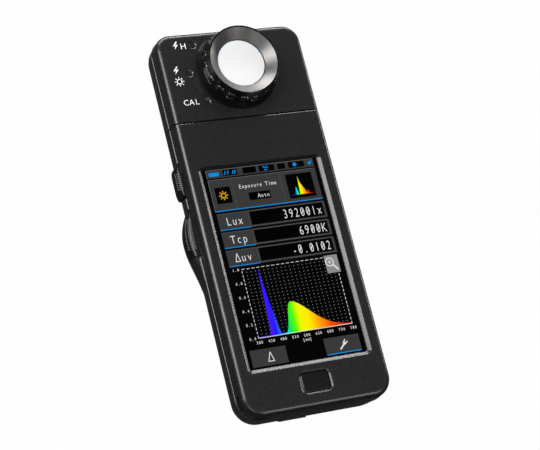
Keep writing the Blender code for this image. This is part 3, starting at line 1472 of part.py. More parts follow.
def index_block(name, grow, finish=None):
    """The grey index let into the ring's band, or its seat when grown."""
    angle = math.radians(INDEX_DEG)
    place = upright(0, RECEPTOR_Y) @ Matrix.Rotation(angle, 4, "Z")
    inside = RING_BAND_R - INDEX_THICK - grow
    outside = RING_BAND_R + INDEX_STAND
    half = INDEX_WIDTH / 2 + grow
    outline = [(inside, -half), (outside, -half), (outside, half), (inside, half)]
    low = BODY_DEPTH + RING_BAND_LOW - grow
    high = BODY_DEPTH + RING_BAND_TOP + grow
    return loft(name, [(low, outline), (high, outline)], finish, place)


def make_receptor():
    """Fixed core with its light chamber, bezel cone and diffuser."""
    face = BODY_DEPTH
    place = upright(0, RECEPTOR_Y)
    slope = (BEZEL_TOP - BEZEL_LOW) / (BEZEL_R - BEZEL_SEAT_R)
    seat_top = face + BEZEL_LOW - BEZEL_THICK - PLAY
    flange_top = FACE_IN_Z - PLAY
    flange_low = flange_top - CORE_FLANGE
    ledge = face + DIFFUSER_LOW - PLAY
    core = [
        (CORE_R, seat_top + (CORE_R - CORE_BORE_R) * slope),
        (CORE_R, flange_top),
        (CORE_FLANGE_R, flange_top),
        (CORE_FLANGE_R, flange_low),
        (0, flange_low),
        (0, flange_low + CORE_FLOOR),
        (CORE_LEDGE_R, flange_low + CORE_FLOOR),
        (CORE_LEDGE_R, ledge),
        (CORE_BORE_R, ledge),
        (CORE_BORE_R, seat_top),
    ]
    body = turned("receptor_core", core, place, "ring_black", 48)
    port_y = RECEPTOR_Y - PORT_OFFSET
    low, high = flange_low - OVERRUN, flange_low + CORE_FLOOR + OVERRUN
    cut(body, rod("light_port", PORT_R, (0, port_y, low), (0, port_y, high)))
    stub_low = (0, RECEPTOR_Y, DISC_LOW_Z - PLAY)
    join(body, rod("disc_stub", STUB_R, stub_low, (0, RECEPTOR_Y, flange_low + PLAY), sides=16))
    bezel = [
        (BEZEL_R, face + BEZEL_TOP),
        (BEZEL_R, face + BEZEL_TOP - BEZEL_THICK),
        (BEZEL_SEAT_R, face + BEZEL_LOW - BEZEL_THICK),
        (BEZEL_SEAT_R, face + BEZEL_LOW),
    ]
    turned("receptor_bezel", bezel, place, "satin_metal", RING_STEPS)
    radius = BEZEL_SEAT_R - PLAY
    dome = []
    steps = 6
    for i in range(steps + 1):
        share = i / steps
        dome.append((radius * share, face + DIFFUSER_EDGE_TOP + DIFFUSER_DOME * (1 - share**2)))
    diffuser = [*dome, (radius, face + DIFFUSER_LOW), (0, face + DIFFUSER_LOW)]
    turned("diffuser", diffuser, place, "diffuser_white", 48)


def make_range_disc():
    """The disc that the ring turns under the light port: open, filtered and dark stops."""
    place = upright(0, RECEPTOR_Y)
    disc = turned(
        "range_disc",
        [
            (DISC_R, DISC_TOP_Z),
            (DISC_R, DISC_LOW_Z),
            (STUB_R + PLAY, DISC_LOW_Z),
            (STUB_R + PLAY, DISC_TOP_Z),
        ],
        place,
        "plate_steel",
        48,
    )
    low, high = DISC_LOW_Z - OVERRUN, DISC_TOP_Z + OVERRUN
    open_y = RECEPTOR_Y - PORT_OFFSET
    cut(disc, rod("open_stop", PORT_R, (0, open_y, low), (0, open_y, high)))
    angle = math.radians(270 - RING_TURN_DEG)
    x = PORT_OFFSET * math.cos(angle)
    y = RECEPTOR_Y + PORT_OFFSET * math.sin(angle)
    seat_z = DISC_TOP_Z - FILTER_SEAT - PLAY
    cut(
        disc,
        rod("filter_bore", PORT_R - PLAY, (x, y, low), (x, y, high)),
        rod("filter_seat", PORT_R + PLAY, (x, y, seat_z), (x, y, high)),
    )
    rod("grey_filter", PORT_R, (x, y, seat_z + PLAY / 2), (x, y, DISC_TOP_Z - PLAY / 2), "filter_grey", 24)
    angle = math.radians(DRIVE_DEG)
    x = DRIVE_R * math.cos(angle)
    y = RECEPTOR_Y + DRIVE_R * math.sin(angle)
    cut(disc, rod("drive_hole", DRIVE_PIN_R + RUNNING_GAP, (x, y, low), (x, y, high), sides=16))


def sensor_low_y():
    """The sensor board's edge beside the light tube."""
    return RECEPTOR_Y - PORT_OFFSET + PORT_R + TUBE_WALL + PLAY


def make_optics():
    """Light tube, spectrometer block and sensor board in the head."""
    port_y = RECEPTOR_Y - PORT_OFFSET
    outer = PORT_R + TUBE_WALL
    low, high = BLOCK_TOP_Z + PLAY, DISC_LOW_Z - PLAY
    tube = [(outer, high), (outer, low), (PORT_R, low), (PORT_R, high)]
    turned("light_tube", tube, upright(0, port_y), "ring_black", 24)
    middle = BLOCK_LOW_Y + BLOCK_LENGTH / 2
    chamfer = BLOCK_CHAMFER
    size = (BLOCK_WIDTH, BLOCK_LENGTH)
    inset = (BLOCK_WIDTH - chamfer, BLOCK_LENGTH - chamfer)
    sections = [
        (WALL + PLAY, rounded_outline(*size, chamfer)),
        (BLOCK_TOP_Z - chamfer / 2, rounded_outline(*size, chamfer)),
        (BLOCK_TOP_Z, rounded_outline(*inset, chamfer)),
    ]
    block = loft("spectrometer_block", sections, "ring_black", upright(0, middle))
    cut(block, rod("block_port", PORT_R, (0, port_y, BLOCK_TOP_Z - PORT_R), (0, port_y, DISC_LOW_Z)))
    low_y = sensor_low_y()
    low_z = BLOCK_TOP_Z + PLAY
    half = SENSOR_WIDTH / 2
    high = (half, low_y + SENSOR_LENGTH, low_z + SENSOR_THICK)
    board = box("sensor_board", (-half, low_y, low_z), high, "board_green")
    low = (PLUG_X - PLUG_WIDTH / 2, low_y, low_z + SENSOR_THICK / 2)
    high = (PLUG_X + PLUG_WIDTH / 2, low_y + PLUG_LENGTH, low_z + SENSOR_THICK + PLUG_HEIGHT)
    join(board, box("harness_plug", low, high))


def carry_moving_pieces():
    """Hangs each moving group on an empty at its joint."""
    ring = ["selector_ring", "ring_index", "range_disc", "grey_filter"]
    head = [
        "head_front_cover",
        "head_rear_cover",
        "swivel_hub",
        "swivel_washer",
        "swivel_clip",
        "sensor_harness",
        "receptor_core",
        "receptor_bezel",
        "diffuser",
        "light_tube",
        "spectrometer_block",
        "sensor_board",
        *HEAD_SCREWS,
    ]
    carry("head_axis", (0, SEAM_Y, AXIS_Z), head)
    carry("ring_axis", (0, RECEPTOR_Y, BODY_DEPTH), ring)
    bpy.data.objects["ring_axis"].parent = bpy.data.objects["head_axis"]
    bpy.data.objects["ring_axis"].matrix_parent_inverse = Matrix.Translation((0, SEAM_Y, AXIS_Z)).inverted()
    carry("door_axis", (0, DOOR_TOP_Y, 0), ["battery_cover"])


def main():
    """Builds the whole meter."""
    clear_scene()
    make_body_housing()
    make_screen()
    make_chassis()
    make_main_board()
    make_menu_button()
    make_side_keys()
    make_usb()
    make_sync_socket()
    make_tripod_bush()
    make_batteries()
    make_battery_door()
    make_swivel()
    make_harness()
    make_head_housing()
    make_selector_ring()
    make_receptor()
    make_range_disc()
    make_optics()
    carry_moving_pieces()


if __name__ == "__main__":
    main()
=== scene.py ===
"""Looks of a handheld light spectrum meter that lies on its back.

+X is the screen's right, +Y runs towards the swivelling head and +Z comes out of the screen.
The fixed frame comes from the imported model. Lengths are in metres, apart from the millimetres in
which a Sheet takes its flat marks. Fields hold their angles in degrees.
"""

import logging
import math
from collections.abc import Callable, Iterable, Sequence
from dataclasses import dataclass
from enum import Enum

import bmesh
import bpy
from mathutils import Matrix, Vector

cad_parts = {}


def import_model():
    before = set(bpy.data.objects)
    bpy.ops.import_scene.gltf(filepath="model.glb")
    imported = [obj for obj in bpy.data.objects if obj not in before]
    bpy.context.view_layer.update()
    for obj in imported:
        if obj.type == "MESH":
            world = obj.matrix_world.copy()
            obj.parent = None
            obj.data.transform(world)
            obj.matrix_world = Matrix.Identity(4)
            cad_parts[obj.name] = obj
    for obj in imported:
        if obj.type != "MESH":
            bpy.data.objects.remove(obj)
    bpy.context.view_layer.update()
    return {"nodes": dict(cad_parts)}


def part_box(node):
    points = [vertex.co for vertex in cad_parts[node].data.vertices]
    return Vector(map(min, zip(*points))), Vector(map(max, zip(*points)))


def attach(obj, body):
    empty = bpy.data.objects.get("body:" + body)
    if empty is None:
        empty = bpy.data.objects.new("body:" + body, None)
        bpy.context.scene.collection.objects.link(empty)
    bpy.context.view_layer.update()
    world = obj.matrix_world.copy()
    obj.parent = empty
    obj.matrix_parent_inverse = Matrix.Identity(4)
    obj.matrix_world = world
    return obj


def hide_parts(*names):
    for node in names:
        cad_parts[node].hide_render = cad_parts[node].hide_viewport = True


LOG = logging.getLogger("spectrum_meter")
MM = 0.001
SMOOTH_DEG = 24.0
FLAT_DEG = 0.4
TINY = 0.000002
SAME_DIGITS = 9
ROUND_SHARE = 0.45
EDGE_TURNS = tuple(math.radians(deg) for deg in (0, 30, 60, 90))
SOFT_SEGMENTS = 2
NORMAL_WEIGHT = 90

Point = tuple[float, float]
Triple = tuple[float, float, float]
Colour = Triple
Span = tuple[float, float, float, float]
Outline = list[Point]
Section = tuple[float, Outline]
Stroke = tuple[Point, Point, float]
Form = bmesh.types.BMesh
Piece = bpy.types.Object
Socket = bpy.types.NodeSocket
Inputs = dict[str | int, float | Triple | Socket]


class Cut(Enum):
    """What a helper does to the piece that it meets."""

    AWAY = "DIFFERENCE"
    JOIN = "UNION"
    WITHIN = "INTERSECT"


class Half(Enum):
    """A half of the housing, by the way in which it runs along Y from the seam."""

    HEAD = 1
    BODY = -1


# Finishes


def shaded(colour: Colour, share: float, lift: float = 0.0) -> Colour:
    """A colour times a share, with a little added, and at most white."""
    return tuple(min(value * share + lift, 1.0) for value in colour)


class NodeSheet:
    """A node tree, with short calls for the nodes that the finishes share."""

    def __init__(self, owner: bpy.types.Material | bpy.types.World) -> None:
        """Opens the tree of a material or a world.

        Args:
            owner: What the tree belongs to.
        """
        owner.use_nodes = True
        self.tree = owner.node_tree
        self.shader = self.tree.nodes.get("Principled BSDF")

    def node(self, kind: str, inputs: Inputs | None = None, **settings: object) -> bpy.types.Node:
        """Adds a node.

        Args:
            kind: The node's type, without the words that all types begin with.
            inputs: What goes into its inputs.
            settings: Properties of the node.

        Returns:
            The new node.
        """
        made = self.tree.nodes.new("ShaderNode" + kind)
        for key, value in settings.items():
            setattr(made, key, value)
        self.fill(made, inputs or {})
        return made

    def fill(self, node: bpy.types.Node, inputs: Inputs) -> None:
        """Sets or links a node's inputs.

        Args:
            node: The node.
            inputs: A constant or a socket for each input, by its name or number.
        """
        for key, value in inputs.items():
            target = node.inputs[key]
            if isinstance(value, Socket):
                self.tree.links.new(value, target)
            else:
                target.default_value = (*value, 1.0) if target.type == "RGBA" else value

    def set(self, **inputs: float | Triple | Socket) -> None:
        """Fills the Principled shader, with underscores for the spaces in its inputs' names."""
        names = {key: key.replace("_", " ").title().replace("Ior", "IOR") for key in inputs}
        self.fill(self.shader, {names[key]: value for key, value in inputs.items()})

    def places(self, centre: Point = (0.0, 0.0), scale: Triple = (1.0, 1.0, 1.0)) -> Socket:
        """Object coordinates, moved and stretched.

        Args:
            centre: The point that becomes the pattern's middle.
            scale: How much each axis is stretched.

        Returns:
            The vector socket.
        """
        source = self.node("TexCoord").outputs["Object"]
        values = {"Vector": source, "Location": (*centre, 0.0), "Scale": scale}
        return self.node("Mapping", values, vector_type="TEXTURE").outputs["Vector"]

    def noise(self, scale: float, detail: float = 2.0, vector: Socket | None = None) -> Socket:
        """Noise on object coordinates.

        Args:
            scale: Cells per metre.
            detail: Octaves.
            vector: Other coordinates.

        Returns:
            The factor socket.
        """
        values = {"Scale": scale, "Detail": detail, "Vector": vector or self.places()}
        return self.node("TexNoise", values).outputs["Fac"]

    def between(
        self, source: Socket, low: float, high: float, start: float = 0.3, end: float = 0.7, **settings: object
    ) -> Socket:
        """A socket's range mapped to other values.

        Args:
            source: The factor to map.
            low: The value at the range's start.
            high: The value at its end.
            start: Where the range starts.
            end: Where it ends.
            settings: Properties of the node.

        Returns:
            The mapped value.
        """
        values = {"Value": source, "From Min": start, "From Max": end, "To Min": low, "To Max": high}
        return self.node("MapRange", values, **settings).outputs["Result"]

    def swaying(self, source: Socket, middle: float, sway: float) -> Socket:
        """A value that goes a little up and down with a factor."""
        return self.between(source, middle - sway, middle + sway)

    def mixed(self, factor: Socket, first: Colour | Socket, second: Colour) -> Socket:
        """Two colours mixed by a factor, 0 for the first and 1 for the second."""
        return self.node("Mix", {0: factor, 6: first, 7: second}, data_type="RGBA").outputs[2]

    def bump(self, height: Socket, depth: float) -> Socket:
        """The normal of a relief whose full depth is given in metres."""
        return self.node("Bump", {"Strength": 1.0, "Distance": depth, "Height": height}).outputs["Normal"]


MADE: dict[str, bpy.types.Material] = {}


@dataclass(frozen=True)
class Finish:
    """A finish by name; each kind knows how to dress its material."""

    name: str
    colour: Colour

    def material(self) -> bpy.types.Material:
        """The finish's material, made once."""
        if self.name not in MADE:
            MADE[self.name] = bpy.data.materials.new(self.name + "_finish")
            self.dress(NodeSheet(MADE[self.name]))
        return MADE[self.name]

    def dress(self, sheet: NodeSheet) -> None:
        """Adds the finish's nodes. Each kind has its own."""
        raise NotImplementedError


@dataclass(frozen=True)
class MouldedPlastic(Finish):
    """Moulded plastic with a fine spark-eroded grain and faint mottling."""

    roughness: float = 0.4
    relief: float = 0.000006
    mottle: float = 0.25
    specular: float = 0.5
    grain: float = 0.00028
    speckle: float = 0.00062
    speckle_span: Point = (0.36, 0.64)
    cloud_cells: float = 90.0
    cloud_share: float = 0.15
    lift: float = 0.001
    sway: float = 0.03

    def dress(self, sheet: NodeSheet) -> None:
        """Adds the grained plastic.

        Args:
            sheet: The material's nodes.
        """
        coarse = sheet.noise(1 / self.speckle)
        speckles = sheet.between(coarse, 0.0, 1.0, *self.speckle_span)
        cloud = sheet.between(sheet.noise(self.cloud_cells, 4.0), -self.cloud_share, self.cloud_share)
        blend = sheet.node("Math", {0: speckles, 1: cloud}, operation="ADD", use_clamp=True).outputs[0]
        dark = shaded(self.colour, 1 - self.mottle)
        light = shaded(self.colour, 1 + self.mottle, self.lift)
        sheet.set(
            base_color=sheet.mixed(blend, dark, light),
            roughness=sheet.swaying(coarse, self.roughness, self.sway),
            normal=sheet.bump(sheet.noise(1 / self.grain, 3.0), self.relief),
            specular_ior_level=self.specular,
        )


@dataclass(frozen=True)
class SoftRubber(Finish):
    """Matt rubber with a powdery surface."""

    roughness: float = 0.75
    relief: float = 0.00001
    fine_cells: float = 6000.0
    broad_cells: float = 260.0
    powder: float = 1.5
    lift: float = 0.003
    sway: float = 0.1

    def dress(self, sheet: NodeSheet) -> None:
        """Adds the rubber.

        Args:
            sheet: The material's nodes.
        """
        fine = sheet.noise(self.fine_cells)
        broad = sheet.noise(self.broad_cells, 3.0)
        sheet.set(
            base_color=sheet.mixed(broad, self.colour, shaded(self.colour, self.powder, self.lift)),
            roughness=sheet.swaying(fine, self.roughness, self.sway),
            normal=sheet.bump(fine, self.relief),
            specular_ior_level=0.35,
            sheen_weight=0.15,
            sheen_roughness=0.5,
        )


class Tooling(Enum):
    """How a metal surface was worked."""

    TURNED = "turned"
    BRUSHED = "brushed"
    BLASTED = "blasted"


@dataclass(frozen=True)
class WorkedMetal(Finish):
    """Bare or coated metal with its tool marks."""

    roughness: float = 0.3
    metallic: float = 1.0
    tooling: Tooling = Tooling.BRUSHED
    centre: Point = (0.0, 0.0)
    relief: float = 0.000003
    blast_cells: float = 9000.0
    brush_marks: Triple = (0.004, 0.00012, 0.00012)
    turn_cells: float = 5200.0
    cloud_cells: float = 350.0
    dulled: float = 0.82
    sway: float = 0.04

    def marks(self, sheet: NodeSheet) -> Socket:
        """The tool marks' height.

        Args:
            sheet: The material's nodes.

        Returns:
            The height socket.
        """
        if self.tooling is Tooling.BLASTED:
            return sheet.noise(self.blast_cells)
        if self.tooling is Tooling.BRUSHED:
            return sheet.noise(1.0, 3.0, sheet.places(scale=self.brush_marks))
        parts = sheet.node("SeparateXYZ", {0: sheet.places(self.centre)}).outputs
        flat = sheet.node("CombineXYZ", {0: parts[0], 1: parts[1]}).outputs[0]
        reach = sheet.node("VectorMath", {0: flat}, operation="LENGTH").outputs["Value"]
        values = {"Scale": self.turn_cells, "Detail": 2.0, "W": reach}
        return sheet.node("TexNoise", values, noise_dimensions="1D").outputs["Fac"]

    def dress(self, sheet: NodeSheet) -> None:
        """Adds the metal.

        Args:
            sheet: The material's nodes.
        """
        marks = self.marks(sheet)
        cloud = sheet.between(sheet.noise(self.cloud_cells, 3.0), 0.0, 1.0)
        sheet.set(
            base_color=sheet.mixed(cloud, shaded(self.colour, self.dulled), self.colour),
            roughness=sheet.swaying(marks, self.roughness, self.sway),
            normal=sheet.bump(marks, self.relief),
            metallic=self.metallic,
        )


@dataclass(frozen=True)
class PanelGlass(Finish):
    """Dark cover glass with a hard gloss and a trace of smears."""

    roughness: float = 0.05
    specular: float = 0.06
    smear_cells: float = 140.0
    smear_light: float = 1.5
    smear_roughness: float = 0.06

    def dress(self, sheet: NodeSheet) -> None:
        """Adds the glass.

        Args:
            sheet: The material's nodes.
        """
        smears = sheet.noise(self.smear_cells, 5.0)
        sheet.set(
            base_color=sheet.mixed(smears, self.colour, shaded(self.colour, self.smear_light)),
            roughness=sheet.between(smears, self.roughness, self.roughness + self.smear_roughness),
            specular_ior_level=self.specular,
        )


@dataclass(frozen=True)
class LitDisplay(Finish):
    """A glowing part of the display, with its fine dot raster or with colours of its own."""

    attribute: str = ""
    dot_cells: float = 9000.0
    dim: float = 0.9

    def dress(self, sheet: NodeSheet) -> None:
        """Adds the glow.

        Args:
            sheet: The material's nodes.
        """
        if self.attribute:
            glow = sheet.node("VertexColor", layer_name=self.attribute).outputs["Color"]
        else:
            dots = sheet.node("TexChecker", {"Scale": self.dot_cells, "Vector": sheet.places()})
            glow = sheet.mixed(dots.outputs["Fac"], self.colour, shaded(self.colour, self.dim))
        sheet.set(
            base_color=(0.0, 0.0, 0.0),
            roughness=0.08,
            specular_ior_level=0.04,
            emission_color=glow,
            emission_strength=1.0,
        )


@dataclass(frozen=True)
class OpalDiffuser(Finish):
    """Milk-white acrylic with light scattered under its skin."""

    cool: float = 0.95
    cloud_cells: float = 220.0
    skin_cells: float = 7000.0
    relief: float = 0.000004
    roughness: Point = (0.42, 0.5)

    def dress(self, sheet: NodeSheet) -> None:
        """Adds the opal plastic.

        Args:
            sheet: The material's nodes.
        """
        cloud = sheet.noise(self.cloud_cells, 3.0)
        sheet.set(
            base_color=sheet.mixed(cloud, shaded(self.colour, self.cool), self.colour),
            roughness=sheet.between(cloud, *self.roughness),
            normal=sheet.bump(sheet.noise(self.skin_cells), self.relief),
            subsurface_weight=0.3,
            subsurface_scale=0.0012,
            specular_ior_level=0.4,
        )


@dataclass(frozen=True)
class CircuitBoard(Finish):
    """Solder-masked board with traces and bare pads."""

    trace_cells: float = 300.0
    trace_width: float = 0.035
    trace_light: float = 1.6
    trace_lift: float = 0.01
    dull: float = 0.8
    pad_cells: float = 1400.0
    pad_span: Point = (0.66, 0.68)
    pad_colour: Colour = (0.45, 0.42, 0.36)
    roughness: Point = (0.42, 0.25)

    def dress(self, sheet: NodeSheet) -> None:
        """Adds the board.

        Args:
            sheet: The material's nodes.
        """
        traces = {
            "Vector": sheet.places(),
            "Scale": self.trace_cells,
            "Mortar Size": self.trace_width,
            "Color1": self.colour,
            "Color2": shaded(self.colour, self.dull),
            "Mortar": shaded(self.colour, self.trace_light, self.trace_lift),
        }
        board = sheet.node("TexBrick", traces).outputs["Color"]
        pads = sheet.between(sheet.noise(self.pad_cells, 0.0), 0.0, 1.0, *self.pad_span)
        sheet.set(
            base_color=sheet.mixed(pads, board, self.pad_colour),
            roughness=sheet.between(pads, *self.roughness, 0.0, 1.0),
        )


@dataclass(frozen=True)
class CellJacket(Finish):
    """The printed sleeve of a battery cell, with plain bands along its length."""

    band: Colour = (0.42, 0.25, 0.06)
    band_pitch: float = 0.025
    band_span: Point = (0.0168, 0.0172)
    fine_cells: float = 900.0
    roughness: Point = (0.28, 0.4)

    def dress(self, sheet: NodeSheet) -> None:
        """Adds the sleeve.

        Args:
            sheet: The material's nodes.
        """
        along = sheet.node("SeparateXYZ", {0: sheet.places()}).outputs[1]
        wave = sheet.node("Math", {0: along, 1: self.band_pitch}, operation="PINGPONG").outputs[0]
        bands = sheet.between(wave, 0.0, 1.0, *self.band_span)
        sheet.set(
            base_color=sheet.mixed(bands, self.colour, self.band),
            roughness=sheet.between(sheet.noise(self.fine_cells), *self.roughness),
            metallic=0.35,
        )


RECEPTOR_CENTRE = (0.0, 70.9 * MM)
BUSH_CENTRE = (0.0, 18.0 * MM)
SCREEN_Y = -22.9 * MM
MENU_Y = -79.7 * MM
MENU_SIZE = (13.4 * MM, 8.8 * MM)
MENU_ROUND = 1.9 * MM

SHELL = MouldedPlastic("shell_black", (0.0085, 0.0080, 0.0078), roughness=0.31, relief=0.0000007, mottle=0.3)
KEYS = MouldedPlastic(
    "key_black", (0.0035, 0.0034, 0.0034), roughness=0.32, relief=0.000002, mottle=0.3, specular=0.3
)
RUBBER = SoftRubber("rubber_black", (0.014, 0.014, 0.014))
RING = MouldedPlastic("ring_black", (0.0018, 0.0018, 0.0018), roughness=0.20, relief=0.000001, mottle=0.2)
INDEX = MouldedPlastic("index_grey", (0.085, 0.068, 0.052), roughness=0.45, relief=0.000004, mottle=0.1)
BEZEL = WorkedMetal("satin_metal", (0.155, 0.151, 0.147), 0.38, 0.9, Tooling.TURNED, RECEPTOR_CENTRE)
OPAL = OpalDiffuser("diffuser_white", (0.86, 0.86, 0.855))
GLASS = PanelGlass("touch_glass", (0.0004, 0.0004, 0.0005))
SCREEN = PanelGlass("screen_dark", (0.010, 0.010, 0.012), roughness=0.22, specular=0.4)
FOAM = SoftRubber("foam_black", (0.020, 0.020, 0.020), roughness=0.88)
STEEL = WorkedMetal("plate_steel", (0.50, 0.50, 0.50), 0.32, 0.95)
BOARD = CircuitBoard("board_green", (0.015, 0.11, 0.05))
SWITCH = MouldedPlastic("switch_grey", (0.22, 0.22, 0.22), roughness=0.42)
BRASS = WorkedMetal("brass", (0.62, 0.44, 0.19), 0.26, 1.0, Tooling.TURNED, BUSH_CENTRE)
SPRING = WorkedMetal("spring_steel", (0.62, 0.62, 0.61), 0.22, 1.0, Tooling.BLASTED)
JACKET = CellJacket("cell_jacket", (0.030, 0.045, 0.085))
BUSHING = MouldedPlastic("bush_white", (0.70, 0.70, 0.67), roughness=0.48, mottle=0.06)
FILTER = PanelGlass("filter_grey", (0.12, 0.12, 0.13), roughness=0.12, specular=0.5)
SCREW = WorkedMetal("screw_black", (0.045, 0.045, 0.048), 0.32, 0.85, Tooling.BLASTED)
PRINT = MouldedPlastic("print_white", (0.92, 0.92, 0.90), roughness=0.45, relief=0.000003, mottle=0.05)

LCD_GREY = LitDisplay("display_grey", (0.043, 0.043, 0.045))
LCD_BLACK = LitDisplay("display_black", (0.0004, 0.0004, 0.0005))
LCD_MID = LitDisplay("display_mid", (0.27, 0.27, 0.275))
LCD_WHITE = LitDisplay("display_white", (0.80, 0.80, 0.80))
LCD_LINE = LitDisplay("display_line", (0.13, 0.13, 0.13))
LCD_DOT = LitDisplay("display_dot", (0.25, 0.25, 0.25))
LCD_BLUE = LitDisplay("display_blue", (0.0, 0.29, 0.80))
LCD_AMBER = LitDisplay("display_amber", (0.90, 0.52, 0.0))
LCD_SPECTRUM = LitDisplay("display_spectrum", (1.0, 1.0, 1.0), attribute="band_colour")


# Mesh work


def scratch(name: str, shape: Form) -> Piece:
    """Puts a bmesh into a new object.

    Args:
        name: The object's name.
        shape: The bmesh, freed here.

    Returns:
        The object.
    """
    mesh = bpy.data.meshes.new(name)
    shape.to_mesh(mesh)
    shape.free()
    made = bpy.data.objects.new(name, mesh)
    bpy.context.scene.collection.objects.link(made)
    return made


def discard(obj: Piece) -> None:
    """Removes an object and its mesh."""
    mesh = obj.data
    bpy.data.objects.remove(obj, do_unlink=True)
    bpy.data.meshes.remove(mesh)


def lifted(obj: Piece) -> Form:
    """An object's form as a bmesh.

    Args:
        obj: The object, removed here.

    Returns:
        The bmesh.
    """
    shape = bmesh.new()
    shape.from_mesh(obj.data)
    discard(obj)
    return shape


def worked(target: Piece, how: Cut, tools: Iterable[Piece]) -> Piece:
    """Applies helpers to a piece and removes them.

    Args:
        target: The piece.
        how: What the helpers do.
        tools: The helpers.

    Returns:
        The piece, with its new mesh.
    """
    tools = list(tools)
    for tool in tools:
        step = target.modifiers.new(tool.name, "BOOLEAN")
        step.operation = how.value
        step.solver = "EXACT"
        step.object = tool
    bpy.context.view_layer.update()
    graph = bpy.context.evaluated_depsgraph_get()
    mesh = bpy.data.meshes.new_from_object(target.evaluated_get(graph))
    old = target.data
    target.modifiers.clear()
    target.data = mesh
    bpy.data.meshes.remove(old)
    for tool in tools:
        discard(tool)
    return target


def loft(sections: Sequence[Section], place: Matrix | None = None) -> Form:
    """A closed form through outlines of equal count.

    Args:
        sections: Heights with their outlines.
        place: Where the form goes.

    Returns:
        The form.
    """
    shape = bmesh.new()
    height, outline = sections[0]
    ring = [shape.verts.new((x, y, height)) for x, y in outline]
    edges = [shape.edges.new((a, b)) for a, b in zip(ring, ring[1:] + ring[:1])]
    shape.faces.new(ring)
    for height, outline in sections[1:]:
        made = bmesh.ops.extrude_edge_only(shape, edges=edges)["geom"]
        fresh = {item.co.to_tuple(SAME_DIGITS): item for item in made if isinstance(item, bmesh.types.BMVert)}
        ring = [fresh[vert.co.to_tuple(SAME_DIGITS)] for vert in ring]
        chosen = set(ring)
        edges = [item for item in made if isinstance(item, bmesh.types.BMEdge) and set(item.verts) <= chosen]
        for vert, (x, y) in zip(ring, outline):
            vert.co = (x, y, height)
    shape.faces.new(ring)
    bmesh.ops.recalc_face_normals(shape, faces=shape.faces)
    if place:
        bmesh.ops.transform(shape, matrix=place, verts=shape.verts)
    return shape


def spun(profile: Sequence[Point], steps: int, place: Matrix | None = None) -> Form:
    """A turned form from a closed profile of radii and heights.

    Args:
        profile: Radii and heights round the profile.
        steps: Steps of the full turn.
        place: Where the form goes.

    Returns:
        The form.
    """
    shape = bmesh.new()
    verts = [shape.verts.new((radius, 0.0, height)) for radius, height in profile]
    edges = [shape.edges.new((a, b)) for a, b in zip(verts, verts[1:] + verts[:1])]
    bmesh.ops.spin(
        shape,
        geom=[*verts, *edges],
        cent=(0.0, 0.0, 0.0),
        axis=(0.0, 0.0, 1.0),
        dvec=(0.0, 0.0, 0.0),
        angle=math.tau,
        steps=steps,
        use_merge=True,
        use_duplicate=False,
    )
    bmesh.ops.remove_doubles(shape, verts=shape.verts, dist=TINY)
    loose = [edge for edge in shape.edges if not edge.link_faces]
    bmesh.ops.delete(shape, geom=loose, context="EDGES")
    bmesh.ops.recalc_face_normals(shape, faces=shape.faces)
    if place:
        bmesh.ops.transform(shape, matrix=place, verts=shape.verts)
    return shape


def eased(corners: Sequence[tuple[Point, float]], steps: int = 4) -> Outline:
    """A profile with each corner rounded.

    Args:
        corners: The corners in order, each with how far its round reaches along its edges, in millimetres.
        steps: Steps in each round.

    Returns:
        The rounded profile.
    """
    points: Outline = []
    count = len(corners)
    for index, (corner, reach) in enumerate(corners):
        here = Vector(corner)
        if reach <= 0:
            points.append(corner)
            continue
        before = Vector(corners[index - 1][0]) - here
        after = Vector(corners[(index + 1) % count][0]) - here
        start = here + before.normalized() * min(reach * MM, before.length * ROUND_SHARE)
        end = here + after.normalized() * min(reach * MM, after.length * ROUND_SHARE)
        for step in range(steps + 1):
            share = step / steps
            point = start * (1 - share) ** 2 + here * 2 * share * (1 - share) + end * share**2
            points.append((point.x, point.y))
    return points


def around(centre: Point, radius: float, turn: float) -> Point:
    """The point on a circle at a turn in radians."""
    return centre[0] + radius * math.cos(turn), centre[1] + radius * math.sin(turn)


def rectangle(left: float, right: float, low: float, high: float) -> Outline:
    """A rectangle's outline, counter-clockwise."""
    return [(left, low), (right, low), (right, high), (left, high)]


def rounded_rectangle(
    width: float, length: float, radius: float, centre: Point = (0.0, 0.0), steps: int = 8
) -> Outline:
    """A rectangle's outline with round corners.

    Args:
        width: Size along X.
        length: Size along Y.
        radius: The corners' radius.
        centre: The middle.
        steps: Steps in each corner.

    Returns:
        The outline, counter-clockwise.
    """
    points: Outline = []
    for quarter, (across, along) in enumerate(((1, 1), (-1, 1), (-1, -1), (1, -1))):
        for step in range(steps + 1):
            turn = math.radians(90 * (quarter + step / steps))
            x, y = around((across * (width / 2 - radius), along * (length / 2 - radius)), radius, turn)
            points.append((centre[0] + x, centre[1] + y))
    return points


def cube(place: Matrix, size: float = 1.0) -> Form:
    """A cube, stretched and set by its place."""
    shape = bmesh.new()
    bmesh.ops.create_cube(shape, size=size, matrix=place)
    return shape


def box(low: Sequence[float], high: Sequence[float]) -> Form:
    """A box between two corners."""
    first, last = Vector(low), Vector(high)
    return cube(Matrix.Translation((last + first) / 2) @ Matrix.Diagonal((*(last - first), 1.0)))


def rod(radius: float, start: Sequence[float], end: Sequence[float], sides: int = 48) -> Form:
    """A round bar between two points.

    Args:
        radius: Its radius.
        start: The middle of one end.
        end: The middle of the other end.
        sides: Sides of its section.

    Returns:
        The bar.
    """
    shape = bmesh.new()
    way = Vector(end) - Vector(start)
    turn = Vector((0, 0, 1)).rotation_difference(way).to_matrix().to_4x4()
    matrix = Matrix.Translation((Vector(start) + Vector(end)) / 2) @ turn
    bmesh.ops.create_cone(
        shape, cap_ends=True, segments=sides, radius1=radius, radius2=radius, depth=way.length, matrix=matrix
    )
    return shape


def upright(x: float, y: float, z: float = 0.0) -> Matrix:
    """The place of a piece that stands at a point."""
    return Matrix.Translation((x, y, z))


